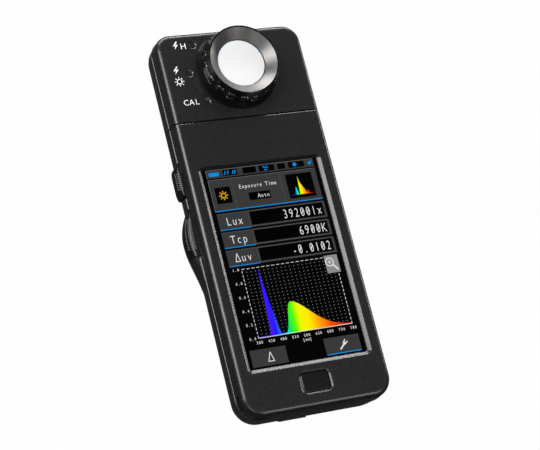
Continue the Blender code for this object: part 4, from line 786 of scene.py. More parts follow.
def turned(deg: float, axis: str = "Z") -> Matrix:
    """A turn about an axis."""
    return Matrix.Rotation(math.radians(deg), 4, axis)


def out_of_side(y: float, z: float) -> Matrix:
    """The place of a piece that comes out of the left side: its Z points away, its X along the meter."""
    return Matrix.Translation((-METER.half_width, y, z)) @ turned(-90, "Y") @ turned(90)


def merged(shapes: Iterable[Form]) -> Form:
    """Several forms in one bmesh.

    Args:
        shapes: The forms, freed here.

    Returns:
        One bmesh that holds them all.
    """
    whole = bmesh.new()
    for shape in shapes:
        mesh = bpy.data.meshes.new("part")
        shape.to_mesh(mesh)
        shape.free()
        whole.from_mesh(mesh)
        bpy.data.meshes.remove(mesh)
    return whole


def publish(
    obj: Piece, finish: Finish, body: str, replaces: Sequence[str] = (), edge: float = 0.0
) -> None:
    """Finishes a piece: finish, soft edges, shading, the body it rides on and the nodes it stands for.

    Args:
        obj: The piece, with its place in its mesh.
        finish: Its finish.
        body: The body that it rides on.
        replaces: Names of the nodes that it stands for.
        edge: Width of the small rounds on its sharp edges.
    """
    mesh = obj.data
    mesh.materials.clear()
    mesh.materials.append(finish.material())
    shape = bmesh.new()
    shape.from_mesh(mesh)
    limit = math.radians(SMOOTH_DEG)
    for face in shape.faces:
        face.smooth = True
        face.material_index = 0
    for line in shape.edges:
        line.smooth = len(line.link_faces) != 2 or line.calc_face_angle(0.0) < limit
    shape.to_mesh(mesh)
    shape.free()
    if edge:
        soft = obj.modifiers.new("soft_edges", "BEVEL")
        soft.width = edge
        soft.segments = SOFT_SEGMENTS
        soft.limit_method = "ANGLE"
        soft.angle_limit = limit
        soft.harden_normals = False
    even = obj.modifiers.new("even_normals", "WEIGHTED_NORMAL")
    even.keep_sharp = True
    even.weight = NORMAL_WEIGHT
    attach(obj, body)
    if replaces:
        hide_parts(*replaces)
    LOG.info("%s: %d faces, on %s", obj.name, len(mesh.polygons), body)


def clean_copy(nodes: dict[str, Piece], node: str, name: str) -> Piece:
    """A copy of a node of the frame, with its triangles joined and its flat faces made whole.

    Args:
        nodes: The frame's nodes.
        node: The node's name.
        name: The copy's name.

    Returns:
        The copy.
    """
    shape = bmesh.new()
    shape.from_mesh(nodes[node].data)
    bmesh.ops.remove_doubles(shape, verts=shape.verts, dist=TINY)
    bmesh.ops.dissolve_limit(
        shape, angle_limit=math.radians(FLAT_DEG), use_dissolve_boundaries=False, verts=shape.verts, edges=shape.edges
    )
    return scratch(name, shape)


# The meter's outer form


@dataclass(frozen=True)
class MeterForm:
    """Sizes of the housing's form, and its outline at any height."""

    width: float = 73.0 * MM
    length: float = 183.0 * MM
    depth: float = 27.0 * MM
    head_length: float = 44.1 * MM
    seam_gap: float = 0.4 * MM
    parting_depth: float = 6.8 * MM
    head_corner: float = 8.3 * MM
    low_corner: float = 9.6 * MM
    corner_grow: float = 1.2 * MM
    front_fillet: float = 2.9 * MM
    rear_side: float = 16.0 * MM
    rear_end: float = 12.0 * MM
    wall: float = 2.0 * MM
    face_wall: float = 2.4 * MM
    play: float = 0.3 * MM
    overrun: float = 1.0 * MM
    edge_round: float = 0.25 * MM
    seam_slope: Point = (0.55 * MM, 0.32 * MM)
    corner_steps: int = 20
    fillet_steps: int = 10

    @property
    def half_width(self) -> float:
        """Half the width."""
        return self.width / 2

    @property
    def half_length(self) -> float:
        """Half the length."""
        return self.length / 2

    @property
    def seam_y(self) -> float:
        """Where the head meets the body."""
        return self.half_length - self.head_length

    @property
    def rear_top_z(self) -> float:
        """The top of the back covers."""
        return self.depth - self.parting_depth - self.play / 2

    @property
    def front_low_z(self) -> float:
        """The lower edge of the front covers."""
        return self.depth - self.parting_depth + self.play / 2

    @property
    def face_in_z(self) -> float:
        """The inner side of the face."""
        return self.depth - self.face_wall

    def square_end(self, part: Half) -> float:
        """The place of a half's square end, measured towards its round end."""
        return part.value * self.seam_y + self.seam_gap / 2

    def edge_inset(self, height: float, radius: float) -> float:
        """How far a rounded edge lies inside its wall.

        Args:
            height: Height above the face that it rounds into.
            radius: The round's radius.

        Returns:
            The inset.
        """
        if height >= radius:
            return 0.0
        return radius - math.sqrt(radius**2 - (radius - max(height, 0.0)) ** 2)

    def side_x(self, z: float) -> float:
        """How far the outer side lies from the middle at a height."""
        return self.half_width - self.edge_inset(z, self.rear_side)

    def outline(self, z: float, inset: float, flat: float, part: Half) -> Outline:
        """The outline of a half housing at a height.

        Args:
            z: The height.
            inset: How far the outline is moved inwards.
            flat: The place of the square end, measured towards the round end.
            part: The head or the body.

        Returns:
            The outline.
        """
        soft = self.edge_round
        front_corner = self.head_corner if part is Half.HEAD else self.low_corner
        corner = front_corner - inset + self.corner_grow * (1 - z / self.depth)
        half = self.half_width - inset - self.edge_inset(z, self.rear_side)
        reach = self.half_length - inset - self.edge_inset(z, self.rear_end)
        rounds = [
            (half - soft * (1 - math.cos(turn)), flat + soft * (1 - math.sin(turn))) for turn in EDGE_TURNS
        ]
        points = list(reversed(rounds))
        for quarter, sign in ((0, 1), (1, -1)):
            for step in range(self.corner_steps + 1):
                turn = math.radians(90 * (quarter + step / self.corner_steps))
                points.append(around((sign * (half - corner), reach - corner), corner, turn))
        points += [(-x, y) for x, y in rounds]
        return [(part.value * x, part.value * y) for x, y in points]

    def front_sections(self, part: Half) -> list[Section]:
        """Sections of a front cover: a rounded lower edge, a straight side and a filleted front.

        Args:
            part: The head or the body.

        Returns:
            The sections.
        """
        sections: list[Section] = []
        flat = self.square_end(part)
        for turn in EDGE_TURNS:
            z = self.front_low_z + self.edge_round * (1 - math.cos(turn))
            inset = self.edge_round * (1 - math.sin(turn))
            sections.append((z, self.outline(z, inset, flat + inset, part)))
        wide, deep = self.seam_slope
        for step in range(self.fillet_steps + 1):
            turn = math.radians(90 * step / self.fillet_steps)
            z = self.depth - self.front_fillet * (1 - math.sin(turn))
            inset = self.front_fillet * (1 - math.cos(turn))
            rise = 0.0 if part is Half.HEAD else max(z - self.depth + deep, 0.0) * wide / deep
            sections.append((z, self.outline(z, inset, flat + rise, part)))
        return sections

    def hollow(self, part: Half) -> Form:
        """The room inside a front cover."""
        flat = self.square_end(part) + self.wall
        heights = (self.front_low_z - self.overrun, self.face_in_z)
        return loft([(z, self.outline(z, self.wall, flat, part)) for z in heights])


METER = MeterForm()


@dataclass
class FrontCovers:
    """The body's and the head's front covers."""

    window_size: Point = (57.4 * MM, 94.3 * MM)
    window_round: float = 0.8 * MM
    slope: Point = (1.35 * MM, 0.78 * MM)
    steep: Point = (0.45 * MM, 0.52 * MM)
    top_cut: float = 0.75 * MM
    land: float = 0.2 * MM
    margin: float = 2.3 * MM
    menu_slope: Point = (0.75 * MM, 0.43 * MM)
    strap_low: float = 21.4 * MM
    strap_high: float = 24.4 * MM
    strap_post: float = 5.5 * MM
    strap_width: float = 6.2 * MM
    strap_wall: float = 1.6 * MM
    body_bore: float = 9.1 * MM
    head_bore: float = 7.8 * MM
    bore_reach: float = 5.0 * MM
    bore_sides: int = 64
    well_radius: float = 14.7 * MM
    well_low: float = 15.0 * MM
    well_sides: int = 96
    circle_reach: float = 23.0 * MM
    circle_groove: tuple[Point, ...] = (
        (3.55 * MM, 1.0 * MM),
        (1.30 * MM, -0.3 * MM),
        (0.90 * MM, -0.3 * MM),
        (0.60 * MM, 1.0 * MM),
    )
    circle_steps: int = 40
    circle_deg: tuple[float, ...] = (142.2, 179.2, 218.9)
    post_radius: float = 2.6 * MM
    body_posts: tuple[Point, ...] = ((28.0 * MM, 38.0 * MM), (23.2 * MM, -82.0 * MM))
    head_posts: tuple[Point, ...] = ((28.0 * MM, 84.0 * MM), (28.0 * MM, 56.8 * MM))

    def window(self) -> list[Piece]:
        """The screen opening with its chamfer, and the rebate that the panel sits in.

        Returns:
            Their two tools.
        """
        over, face = METER.overrun, METER.depth
        deep = self.slope[1] + self.steep[1]
        rate = self.slope[0] / self.slope[1]
        width, length = self.window_size
        sections = []
        for z, grow, cut in (
            (METER.face_in_z - over, 0.0, 0.0),
            (face - deep, 0.0, 0.0),
            (face - self.slope[1], self.steep[0], 0.0),
            (face + over, self.steep[0] + self.slope[0] + over * rate, self.top_cut * (1 + over / self.slope[1])),
        ):
            size = (width + 2 * grow, length + 2 * grow - cut)
            sections.append((z, rounded_rectangle(*size, self.window_round + grow, (0.0, SCREEN_Y - cut / 2))))
        room = 2 * (self.margin + METER.play)
        outline = rounded_rectangle(width + room, length + room, self.margin, (0.0, SCREEN_Y))
        rebate = loft([(METER.face_in_z - over, outline), (face - deep - self.land, outline)])
        return [scratch("window_tool", loft(sections)), scratch("rebate_tool", rebate)]

    def menu_hole(self) -> Piece:
        """The menu button's hole, chamfered at the face.

        Returns:
            Its tool.
        """
        sections = []
        wide, deep = self.menu_slope
        for z in (METER.face_in_z - METER.overrun, METER.depth - deep, METER.depth + METER.overrun):
            grow = METER.play + max(z - METER.depth + deep, 0.0) * wide / deep
            size = [length + 2 * grow for length in MENU_SIZE]
            sections.append((z, rounded_rectangle(*size, MENU_ROUND + grow, (0.0, MENU_Y))))
        return scratch("menu_tool", loft(sections))

    def strap(self) -> tuple[Piece, list[Piece]]:
        """The solid corner for the strap, and the two legs of its channel.

        Returns:
            The corner and the legs.
        """
        x, y = METER.half_width, METER.half_length
        near, far = self.strap_post, self.strap_post + self.strap_width
        span = far + self.strap_wall
        block = scratch("strap_block", box((-x, -y, 0.0), (span - x, span - y, METER.depth)))
        low, high, over = self.strap_low, self.strap_high, METER.overrun
        legs = [
            box((-x - over, near - y, low), (far - x, far - y, high)),
            box((near - x, -y - over, low), (far - x, far - y - over, high)),
        ]
        return block, [scratch("strap_leg", leg) for leg in legs]

    def posts(self, places: Sequence[Point]) -> list[Piece]:
        """Pairs of posts, left and right, that stay solid for the screws."""
        pairs = [(side * x, y) for x, y in places for side in (-1, 1)]
        return [scratch("post", rod(self.post_radius, (x, y, 0.0), (x, y, METER.depth))) for x, y in pairs]

    def bore(self, radius: float, back: float, ahead: float) -> Piece:
        """The hole for the swivel, through a half's square end.

        Args:
            radius: Its radius.
            back: How far it reaches into the body.
            ahead: How far it reaches into the head.

        Returns:
            Its tool.
        """
        y, z = METER.seam_y, METER.depth / 2
        return scratch("bore", rod(radius, (0.0, y - back, z), (0.0, y + ahead, z), self.bore_sides))

    def circles(self) -> list[Piece]:
        """The engraved position circles."""
        places = [around(RECEPTOR_CENTRE, self.circle_reach, math.radians(deg)) for deg in self.circle_deg]
        grooves = [spun(self.circle_groove, self.circle_steps, upright(x, y, METER.depth)) for x, y in places]
        return [scratch("circle_groove", groove) for groove in grooves]

    def build(self) -> None:
        """Builds both covers."""
        block, legs = self.strap()
        room = scratch("front_room", METER.hollow(Half.BODY))
        worked(room, Cut.AWAY, [block, *self.posts(self.body_posts)])
        bore = self.bore(self.body_bore, self.bore_reach, METER.overrun)
        cover = scratch("body_front", loft(METER.front_sections(Half.BODY)))
        worked(cover, Cut.AWAY, [room, *self.window(), self.menu_hole(), *legs, bore])
        publish(cover, SHELL, "body", ["front_cover"])
        room = scratch("head_room", METER.hollow(Half.HEAD))
        worked(room, Cut.AWAY, self.posts(self.head_posts))
        bore = self.bore(self.head_bore, METER.overrun, self.bore_reach)
        ends = [(*RECEPTOR_CENTRE, z) for z in (self.well_low, METER.depth + METER.overrun)]
        well = scratch("well", rod(self.well_radius, *ends, self.well_sides))
        head = scratch("head_front", loft(METER.front_sections(Half.HEAD)))
        worked(head, Cut.AWAY, [room, bore, well, *self.circles()])
        publish(head, SHELL, "head", ["head_front_cover"])


@dataclass
class BackCovers:
    """The back covers and the battery door, dressed from the frame's own solids."""

    lip_stand: float = 0.3 * MM
    lip_start: float = 0.02 * MM
    lip_slope: float = 0.17 * MM
    lip_depth: float = 1.5 * MM
    lip_root: float = 0.9 * MM
    lip_end: float = 0.05 * MM
    gap_nodes: tuple[str, ...] = ("measure_button", "memory_button", "power_button", "usb_flap")

    def lip(self, part: Half) -> Piece:
        """A low bead round the cover's top edge, with a slope that catches the light.

        Args:
            part: The head or the body.

        Returns:
            The bead, open where the keys are.
        """
        top, wide, flat = METER.rear_top_z, METER.width, METER.square_end(part)
        steps = (
            (top - self.lip_depth, -self.lip_start),
            (top - self.lip_depth / 3, -self.lip_stand),
            (top - self.lip_slope, -self.lip_stand),
            (top, -self.lip_start),
        )
        bead = scratch("lip_bead", loft([(z, METER.outline(z, inset, flat, part)) for z, inset in steps]))
        low, high = top - self.lip_depth - METER.overrun, top + METER.overrun
        root = self.lip_root
        inner = loft([(z, METER.outline(z, root, flat + root, part)) for z in (low, high)])
        tools = [scratch("lip_room", inner)]
        for node in self.gap_nodes:
            near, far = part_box(node)
            if far.z < top - self.lip_depth or near.y < METER.seam_y < far.y:
                continue
            sign = -1 if near.x < 0 else 1
            ends = sorted((sign * METER.half_width / 2, sign * wide))
            corners = ((ends[0], near.y - METER.play, low), (ends[1], far.y + METER.play, high))
            tools.append(scratch("lip_gap", box(*corners)))
        ends = sorted((part.value * (flat - METER.overrun), part.value * (flat + self.lip_end)))
        tools.append(scratch("lip_end", box((-wide, ends[0], low), (wide, ends[1], high))))
        return worked(bead, Cut.AWAY, tools)

    def build(self, nodes: dict[str, Piece]) -> None:
        """Builds the dressed copies.

        Args:
            nodes: The frame's nodes.
        """
        for node, name, body, part in (
            ("rear_cover", "body_back", "body", Half.BODY),
            ("head_rear_cover", "head_back", "head", Half.HEAD),
        ):
            copy = clean_copy(nodes, node, name)
            worked(copy, Cut.JOIN, [self.lip(part)])
            publish(copy, SHELL, body, [node])
        door = clean_copy(nodes, "battery_cover", "battery_door")
        publish(door, SHELL, "battery_door", ["battery_cover"])


@dataclass
class ReceptorTop:
    """The selector ring, its index, the satin cone and the diffuser."""

    base_radius: float = 19.7 * MM
    band_radius: float = 18.0 * MM
    neck_radius: float = 17.1 * MM
    top_radius: float = 16.9 * MM
    bore_radius: float = 14.8 * MM
    edge_top: float = 1.1 * MM
    flare_top: float = 3.8 * MM
    band_low: float = 4.6 * MM
    band_top: float = 8.3 * MM
    neck_top: float = 10.4 * MM
    height: float = 12.0 * MM
    shelf: float = 7.8 * MM
    lip: float = 0.3 * MM
    rib_count: int = 18
    rib_depth: float = 0.65 * MM
    notch_share: float = 0.38
    tooth: float = 0.42 * MM
    tooth_stretch: float = 2.0
    tooth_tilt: float = 32.0
    tooth_turn: float = 4.6
    tooth_pitch: float = 2.3
    tooth_count: int = 5
    tooth_clear: float = 9.5
    ring_steps: int = 432
    bezel_radius: float = 16.3 * MM
    bezel_seat: float = 11.6 * MM
    bezel_top: float = 11.7 * MM
    bezel_low: float = 7.9 * MM
    bezel_thick: float = 0.9 * MM
    bezel_soft: float = 0.15
    bezel_steps: int = 192
    opal_radius: float = 11.3 * MM
    opal_low: float = 6.2 * MM
    opal_edge: float = 7.5 * MM
    opal_dome: float = 0.6 * MM
    opal_steps: int = 128
    dome_steps: int = 16
    index_deg: float = 190.0
    index_width: float = 4.6 * MM
    index_thick: float = 0.6 * MM
    index_stand: float = 0.2 * MM
    index_steps: int = 8
    index_soft: float = 0.12 * MM

    def notch(self, turn: float) -> float:
        """How deep the ring's notches are at a turn.

        Args:
            turn: The turn round the ring, in radians.

        Returns:
            The share of the full depth, from 0 to 1.
        """
        share = (turn / (math.tau / self.rib_count)) % 1.0
        away = abs(share - 0.5) / self.notch_share
        return max(1.0 - away**2, 0.0) ** 0.5 if away < 1 else 0.0

    def ring(self) -> Form:
        """The ring: flared base, ribbed band, plain neck and thin rim.

        Returns:
            The ring's form.
        """
        lip, play = self.lip, METER.play
        corners = [
            ((self.top_radius, self.height), 0.12),
            ((self.neck_radius, self.neck_top), 0.5),
            ((self.neck_radius + lip, self.band_top + lip), 0.15),
            ((self.band_radius, self.band_top), 0.2),
            ((self.band_radius, self.band_low), 0.3),
            ((self.band_radius - lip, self.flare_top), 0.6),
            ((self.base_radius - lip, self.edge_top), 0.3),
            ((self.base_radius, self.edge_top - lip), 0.2),
            ((self.base_radius, play), 0.1),
            ((self.bore_radius, play), 0.0),
            ((self.bore_radius, self.shelf), 0.0),
            ((self.top_radius - lip, self.shelf), 0.0),
            ((self.top_radius - lip, self.height), 0.1),
        ]
        shape = spun(eased(corners), self.ring_steps)
        for vert in shape.verts:
            if not self.flare_top < vert.co.z < self.band_top + lip or vert.co.xy.length <= self.neck_radius:
                continue
            depth = self.rib_depth * self.notch(math.atan2(vert.co.y, vert.co.x))
            fade = min((vert.co.z - self.flare_top) / (self.band_low - self.flare_top), 1.0)
            across = vert.co.xy
            vert.co.xy = across - across.normalized() * depth * fade
        bmesh.ops.transform(shape, matrix=upright(*RECEPTOR_CENTRE, METER.depth), verts=shape.verts)
        return shape

    def teeth(self) -> list[Form]:
        """Small grip points on the band, each with a sloping tip.

        Returns:
            The points.
        """
        points = []
        middle = (self.tooth_count - 1) / 2
        size = Matrix.Diagonal((self.tooth_stretch, 1.0, 1.0, 1.0))
        for rib in range(self.rib_count):
            first = self.index_deg + 360.0 / self.rib_count * (rib - 0.5)
            spots = [(first - self.tooth_turn, self.band_top), (first + self.tooth_turn, self.band_top)]
            if rib % 2:
                steps = range(self.tooth_count)
                spots += [(first + self.tooth_pitch * (step - middle), self.band_low) for step in steps]
            for deg, z in spots:
                away = math.degrees(abs(math.remainder(math.radians(deg - self.index_deg), math.tau)))
                if away < self.tooth_clear:
                    continue
                place = upright(*RECEPTOR_CENTRE, METER.depth) @ turned(deg)
                place = place @ upright(self.band_radius - self.rib_depth / 2, 0.0, z)
                points.append(cube(place @ turned(self.tooth_tilt, "Y") @ size, self.tooth))
        return points

    def index(self, grow: float) -> Form:
        """The grey index let into the band, or its seat when grown.

        Args:
            grow: How much larger than the index it is.

        Returns:
            The form.
        """
        inside = self.band_radius - self.index_thick - grow
        outside = self.band_radius + self.index_stand
        half = self.index_width / 2 + grow
        across = [half * (2 * step / self.index_steps - 1) for step in range(self.index_steps + 1)]
        outline = [(inside, -half), *((math.sqrt(outside**2 - y**2), y) for y in across), (inside, half)]
        heights = (METER.depth + self.band_low - grow, METER.depth + self.band_top + grow)
        return loft([(z, outline) for z in heights], upright(*RECEPTOR_CENTRE) @ turned(self.index_deg))

    def cone(self) -> Form:
        """The satin cone between the rim and the diffuser.

        Returns:
            The cone.
        """
        corners = (
            (self.bezel_radius, self.bezel_top),
            (self.bezel_radius, self.bezel_top - self.bezel_thick),
            (self.bezel_seat, self.bezel_low - self.bezel_thick),
            (self.bezel_seat, self.bezel_low),
        )
        profile = eased([(corner, self.bezel_soft) for corner in corners], 3)
        return spun(profile, self.bezel_steps, upright(*RECEPTOR_CENTRE, METER.depth))

    def opal(self) -> Form:
        """The diffuser with its slightly domed top."""
        shares = [step / self.dome_steps for step in range(self.dome_steps + 1)]
        dome = [(self.opal_radius * share, self.opal_edge + self.opal_dome * (1 - share**2)) for share in shares]
        profile = [*dome, (self.opal_radius, self.opal_low), (0.0, self.opal_low)]
        return spun(profile, self.opal_steps, upright(*RECEPTOR_CENTRE, METER.depth))

    def build(self) -> None:
        """Builds the receptor's visible pieces."""
        ring = scratch("ribbed_ring", self.ring())
        worked(ring, Cut.AWAY, [scratch("index_seat", self.index(METER.play / 2))])
        ring = scratch("ribbed_ring", merged([lifted(ring), *self.teeth()]))
        publish(ring, RING, "ring", ["selector_ring"])
        publish(scratch("grey_index", self.index(0.0)), INDEX, "ring", ["ring_index"], edge=self.index_soft)
        publish(scratch("satin_cone", self.cone()), BEZEL, "head", ["receptor_bezel"])
        publish(scratch("opal_disc", self.opal()), OPAL, "head", ["diffuser"])


@dataclass
class SideKey:
    """A sprung key that swells out of the left side, with a knurled strip along the parting line."""

    use: str
    y: float
    length: float
    low_z: float
    stand_at: Callable[[float], float]
    sections: int = 72
    arch_steps: int = 36
    fullness: float = 0.6
    knurl_pitch: float = 1.05 * MM
    knurl_rows: tuple[float, ...] = (0.20, 0.42, 0.64, 0.86)
    knurl_shift: float = 0.5
    knurl_size: float = 0.52 * MM
    knurl_root: float = 0.9 * MM
    knurl_stand: float = 0.22 * MM
    knurl_tilt: float = 30.0
    knurl_end: float = 2.8 * MM
    knurl_clear: float = 0.04 * MM
    key_corner: float = 2.5 * MM
    flange: float = 1.0 * MM
    flange_depth: float = 1.2 * MM
    flange_thick: float = 0.8 * MM
    flange_share: float = 0.6

    @property
    def middle_z(self) -> float:
        """The middle of the key's height."""
        return (self.low_z + METER.rear_top_z) / 2

    @property
    def half_height(self) -> float:
        """Half the key's height."""
        return (METER.rear_top_z - self.low_z) / 2

    @property
    def root(self) -> float:
        """How far the key reaches in from the side, to the middle of its flange."""
        return METER.wall + self.flange_depth + self.flange_thick / 2

    def surface(self, y: float, z: float) -> Vector:
        """A point of the key's skin.

        Args:
            y: The place along the meter.
            z: The height.

        Returns:
            The point.
        """
        rise = math.sqrt(max(1 - ((self.middle_z - z) / self.half_height) ** 2, 0.0))
        return Vector((-METER.side_x(z) - self.stand_at(y) * rise**self.fullness, y, z))

    def skin(self) -> Form:
        """The swelling with its straight back.

        Returns:
            The form.
        """
        low_y, high_y = self.y - self.length / 2, self.y + self.length / 2
        back = -(METER.half_width - self.root)
        turns = [math.pi * step / self.arch_steps for step in range(self.arch_steps + 1)]
        heights = [self.middle_z - self.half_height * math.cos(turn) for turn in turns]
        sections: list[Section] = []
        for index in range(self.sections + 1):
            share = (1 - math.cos(math.pi * index / self.sections)) / 2
            y = low_y + (high_y - low_y) * share
            arch = [(self.surface(y, z).x, z) for z in heights]
            sections.append((-y, [(back, METER.rear_top_z), (back, self.low_z), *arch]))
        return loft(sections, turned(90, "X"))

    def limits(self) -> Form:
        """The form that rounds the key's two lower corners."""
        high_z = METER.rear_top_z + self.key_corner
        outline = rounded_rectangle(self.length, high_z - self.low_z, self.key_corner)
        sections = [(-self.root - METER.overrun, outline), (METER.depth, outline)]
        return loft(sections, out_of_side(self.y, (self.low_z + high_z) / 2))

    def knurls(self) -> list[Form]:
        """Rows of small raised points on the slope that faces the front, each with a flat tip.

        Returns:
            The points.
        """
        points = []
        count = int(2 * (self.length / 2 - self.knurl_end) / self.knurl_pitch)
        turn = turned(-self.knurl_tilt, "Y")
        away = turn @ Vector((0.0, 0.0, self.knurl_stand - self.knurl_root / 2))
        size = Matrix.Diagonal((self.knurl_size, self.knurl_size, self.knurl_root, 1.0))
        for row, share in enumerate(self.knurl_rows):
            z = self.middle_z + self.half_height * math.sqrt(1 - share ** (2 / self.fullness))
            z = min(z, METER.rear_top_z - self.knurl_clear)
            shift = (row % 2) * self.knurl_shift
            for index in range(count):
                y = self.y + (index + shift - count / 2 + self.knurl_shift / 2) * self.knurl_pitch
                points.append(cube(Matrix.Translation(self.surface(y, z) + away) @ turn @ size))
        return points

    def build(self) -> None:
        """Builds the key."""
        key = scratch("key_skin", self.skin())
        worked(key, Cut.WITHIN, [scratch("key_limits", self.limits())])
        inner = METER.wall + self.flange_depth
        height = (METER.rear_top_z - self.low_z) * self.flange_share
        outline = rounded_rectangle(self.length + 2 * self.flange, height, self.flange)
        sections = [(-inner - self.flange_thick, outline), (-inner, outline)]
        flange = loft(sections, out_of_side(self.y, self.middle_z))
        worked(key, Cut.JOIN, [scratch("key_flange", flange)])
        whole = scratch(f"{self.use}_key_top", merged([lifted(key), *self.knurls()]))
        publish(whole, KEYS, f"{self.use}_key", [f"{self.use}_button"])


@dataclass
class SideKeys:
    """The measuring and memory keys in the left side."""

    measure_y: float = -2.85 * MM
    measure_length: float = 20.9 * MM
    measure_low: float = 8.0 * MM
    measure_stand: float = 4.4 * MM
    peak_shift: float = 3.2 * MM
    fade: float = 28.0 * MM
    memory_y: float = 22.4 * MM
    memory_length: float = 14.8 * MM
    memory_low: float = 9.4 * MM
    memory_stand: float = 2.2 * MM
    flatness: float = 6.0
    edge_stand: float = 0.3 * MM

    def measure(self, y: float) -> float:
        """How far the measuring key stands out at a place along the meter.

        Args:
            y: The place.

        Returns:
            The stand.
        """
        peak = self.measure_y - self.peak_shift
        if y > peak:
            share = (y - peak) / (self.measure_length / 2 + self.peak_shift)
            return self.measure_stand - (self.measure_stand - self.edge_stand) * share**2
        share = min((peak - y) / self.fade, 1.0)
        return self.measure_stand * (1 - share**2 * (3 - 2 * share))

    def memory(self, y: float) -> float:
        """How far the memory key stands out at a place along the meter."""
        share = min(abs(y - self.memory_y) / (self.memory_length / 2), 1.0)
        return self.edge_stand + (self.memory_stand - self.edge_stand) * math.sqrt(1 - share**self.flatness)

    def build(self) -> None:
        """Builds both keys."""
        SideKey("measure", self.measure_y, self.measure_length, self.measure_low, self.measure).build()
        SideKey("memory", self.memory_y, self.memory_length, self.memory_low, self.memory).build()


class Sheet:
    """Thin flat marks of one finish, each a closed plate, gathered in one piece. Marks are in millimetres."""

    capital_share: float = 0.70
    glyph_steps: int = 3
    sun_loop: float = 0.5
    sun_rays: float = 0.72
    sun_steps: int = 16
    loop_overlap: float = 1.05
    bolt_corners: tuple[Point, ...] = (
        (0.15, 0.5), (-0.32, -0.06), (-0.02, -0.06), (-0.18, -0.5), (0.32, 0.1), (0.02, 0.1), (0.3, 0.5)
    )

    def __init__(self, low: float, thick: float) -> None:
        """Starts an empty sheet.

        Args:
            low: The height of the marks' under side, in metres.
            thick: Their thickness, in metres.
        """
        self.low = low
        self.thick = thick
        self.shapes: list[Form] = []

    def outline(self, points: Sequence[Point]) -> None:
        """Adds a mark with a given outline."""
        flat = [(x * MM, y * MM) for x, y in points]
        self.shapes.append(loft([(self.low, flat), (self.low + self.thick, flat)]))

    def rectangles(self, spans: Iterable[Span]) -> None:
        """Adds rectangles by their left, right, low and high sides."""
        for span in spans:
            self.outline(rectangle(*span))

    def line(self, start: Point, end: Point, width: float) -> None:
        """Adds a straight line.

        Args:
            start: The middle of one end.
            end: The middle of the other end.
            width: How wide it is.
        """
        way = (Vector(end) - Vector(start)).normalized() * width / 2
        across = Vector((-way.y, way.x))
        points = [Vector(start) - across, Vector(end) - across, Vector(end) + across, Vector(start) + across]
        self.outline([(point.x, point.y) for point in points])

    def lines(self, strokes: Iterable[Stroke]) -> None:
        """Adds straight lines by their ends and width."""
        for stroke in strokes:
            self.line(*stroke)

    def dashes(self, start: Point, end: Point, width: float, count: int, share: float = 0.5) -> None:
        """Adds a dashed line.

        Args:
            start: Where it starts.
            end: Where the gap after its last dash ends.
            width: How wide it is.
            count: How many dashes it has.
            share: How much of each step is dash.
        """
        first, way = Vector(start), Vector(end) - Vector(start)
        for index in range(count):
            here = first + way * index / count
            there = first + way * (index + share) / count
            self.line((here.x, here.y), (there.x, there.y), width)

    def disc(self, centre: Point, radius: float, steps: int = 20) -> None:
        """Adds a disc."""
        self.outline([around(centre, radius, math.tau * step / steps) for step in range(steps)])

    def loop(self, centre: Point, radius: float, width: float, steps: int = 20) -> None:
        """Adds a ring, as short straight strokes.

        Args:
            centre: Its middle.
            radius: The radius of its middle line.
            width: How wide the line is.
            steps: How many strokes it has.
        """
        for step in range(steps):
            ends = [around(centre, radius, math.tau * turn / steps) for turn in (step, step + self.loop_overlap)]
            self.line(*ends, width)

    def words(
        self,
        text: str,
        left: float,
        base: float,
        height: float,
        pitch: float,
        squeeze: float = 1.0,
        thinning: float = 0.0,
    ) -> None:
        """Adds evenly pitched characters.

        Args:
            text: The characters.
            left: The first cell's left side.
            base: The base line.
            height: The capitals' height.
            pitch: The cells' width.
            squeeze: The glyphs' width against their natural one.
            thinning: How much thinner the strokes are, as a share of the height.
        """
        for index, glyph in enumerate(text):
            if glyph == " ":
                continue
            curve = bpy.data.curves.new("glyph", "FONT")
            curve.body = glyph
            curve.align_x = "CENTER"
            curve.resolution_u = self.glyph_steps
            curve.size = height / self.capital_share * MM
            curve.offset = -thinning * height * MM
            curve.extrude = self.thick / 2
            obj = bpy.data.objects.new("glyph", curve)
            bpy.context.scene.collection.objects.link(obj)
            bpy.context.view_layer.update()
            graph = bpy.context.evaluated_depsgraph_get()
            mesh = bpy.data.meshes.new_from_object(obj.evaluated_get(graph))
            bpy.data.objects.remove(obj, do_unlink=True)
            bpy.data.curves.remove(curve)
            centre = (left + pitch * (index + 0.5)) * MM
            mesh.transform(upright(centre, base * MM, self.low + self.thick / 2) @ Matrix.Diagonal((squeeze, 1, 1, 1)))
            shape = bmesh.new()
            shape.from_mesh(mesh)
            bmesh.ops.remove_doubles(shape, verts=shape.verts, dist=TINY / 10)
            bpy.data.meshes.remove(mesh)
            self.shapes.append(shape)

    def bolt(self, centre: Point, size: float) -> None:
        """Adds a lightning bolt."""
        self.outline([(centre[0] + x * size, centre[1] + y * size) for x, y in self.bolt_corners])

    def sun(self, centre: Point, radius: float, width: float, rays: int = 8) -> None:
        """Adds a small sun: a loop with short rays.

        Args:
            centre: Its middle.
            radius: How far its rays reach.
            width: How wide its lines are.
            rays: How many rays it has.
        """
        self.loop(centre, radius * self.sun_loop, width, self.sun_steps)
        for index in range(rays):
            turn = math.tau * index / rays
            self.line(around(centre, radius * self.sun_rays, turn), around(centre, radius, turn), width)

    def publish(self, name: str, finish: Finish, body: str, slot: str) -> None:
        """Makes the sheet one piece.

        Args:
            name: The piece's name.
            finish: Its finish.
            body: The body that it rides on.
        """
        publish(scratch(name, merged(self.shapes)), finish, body)


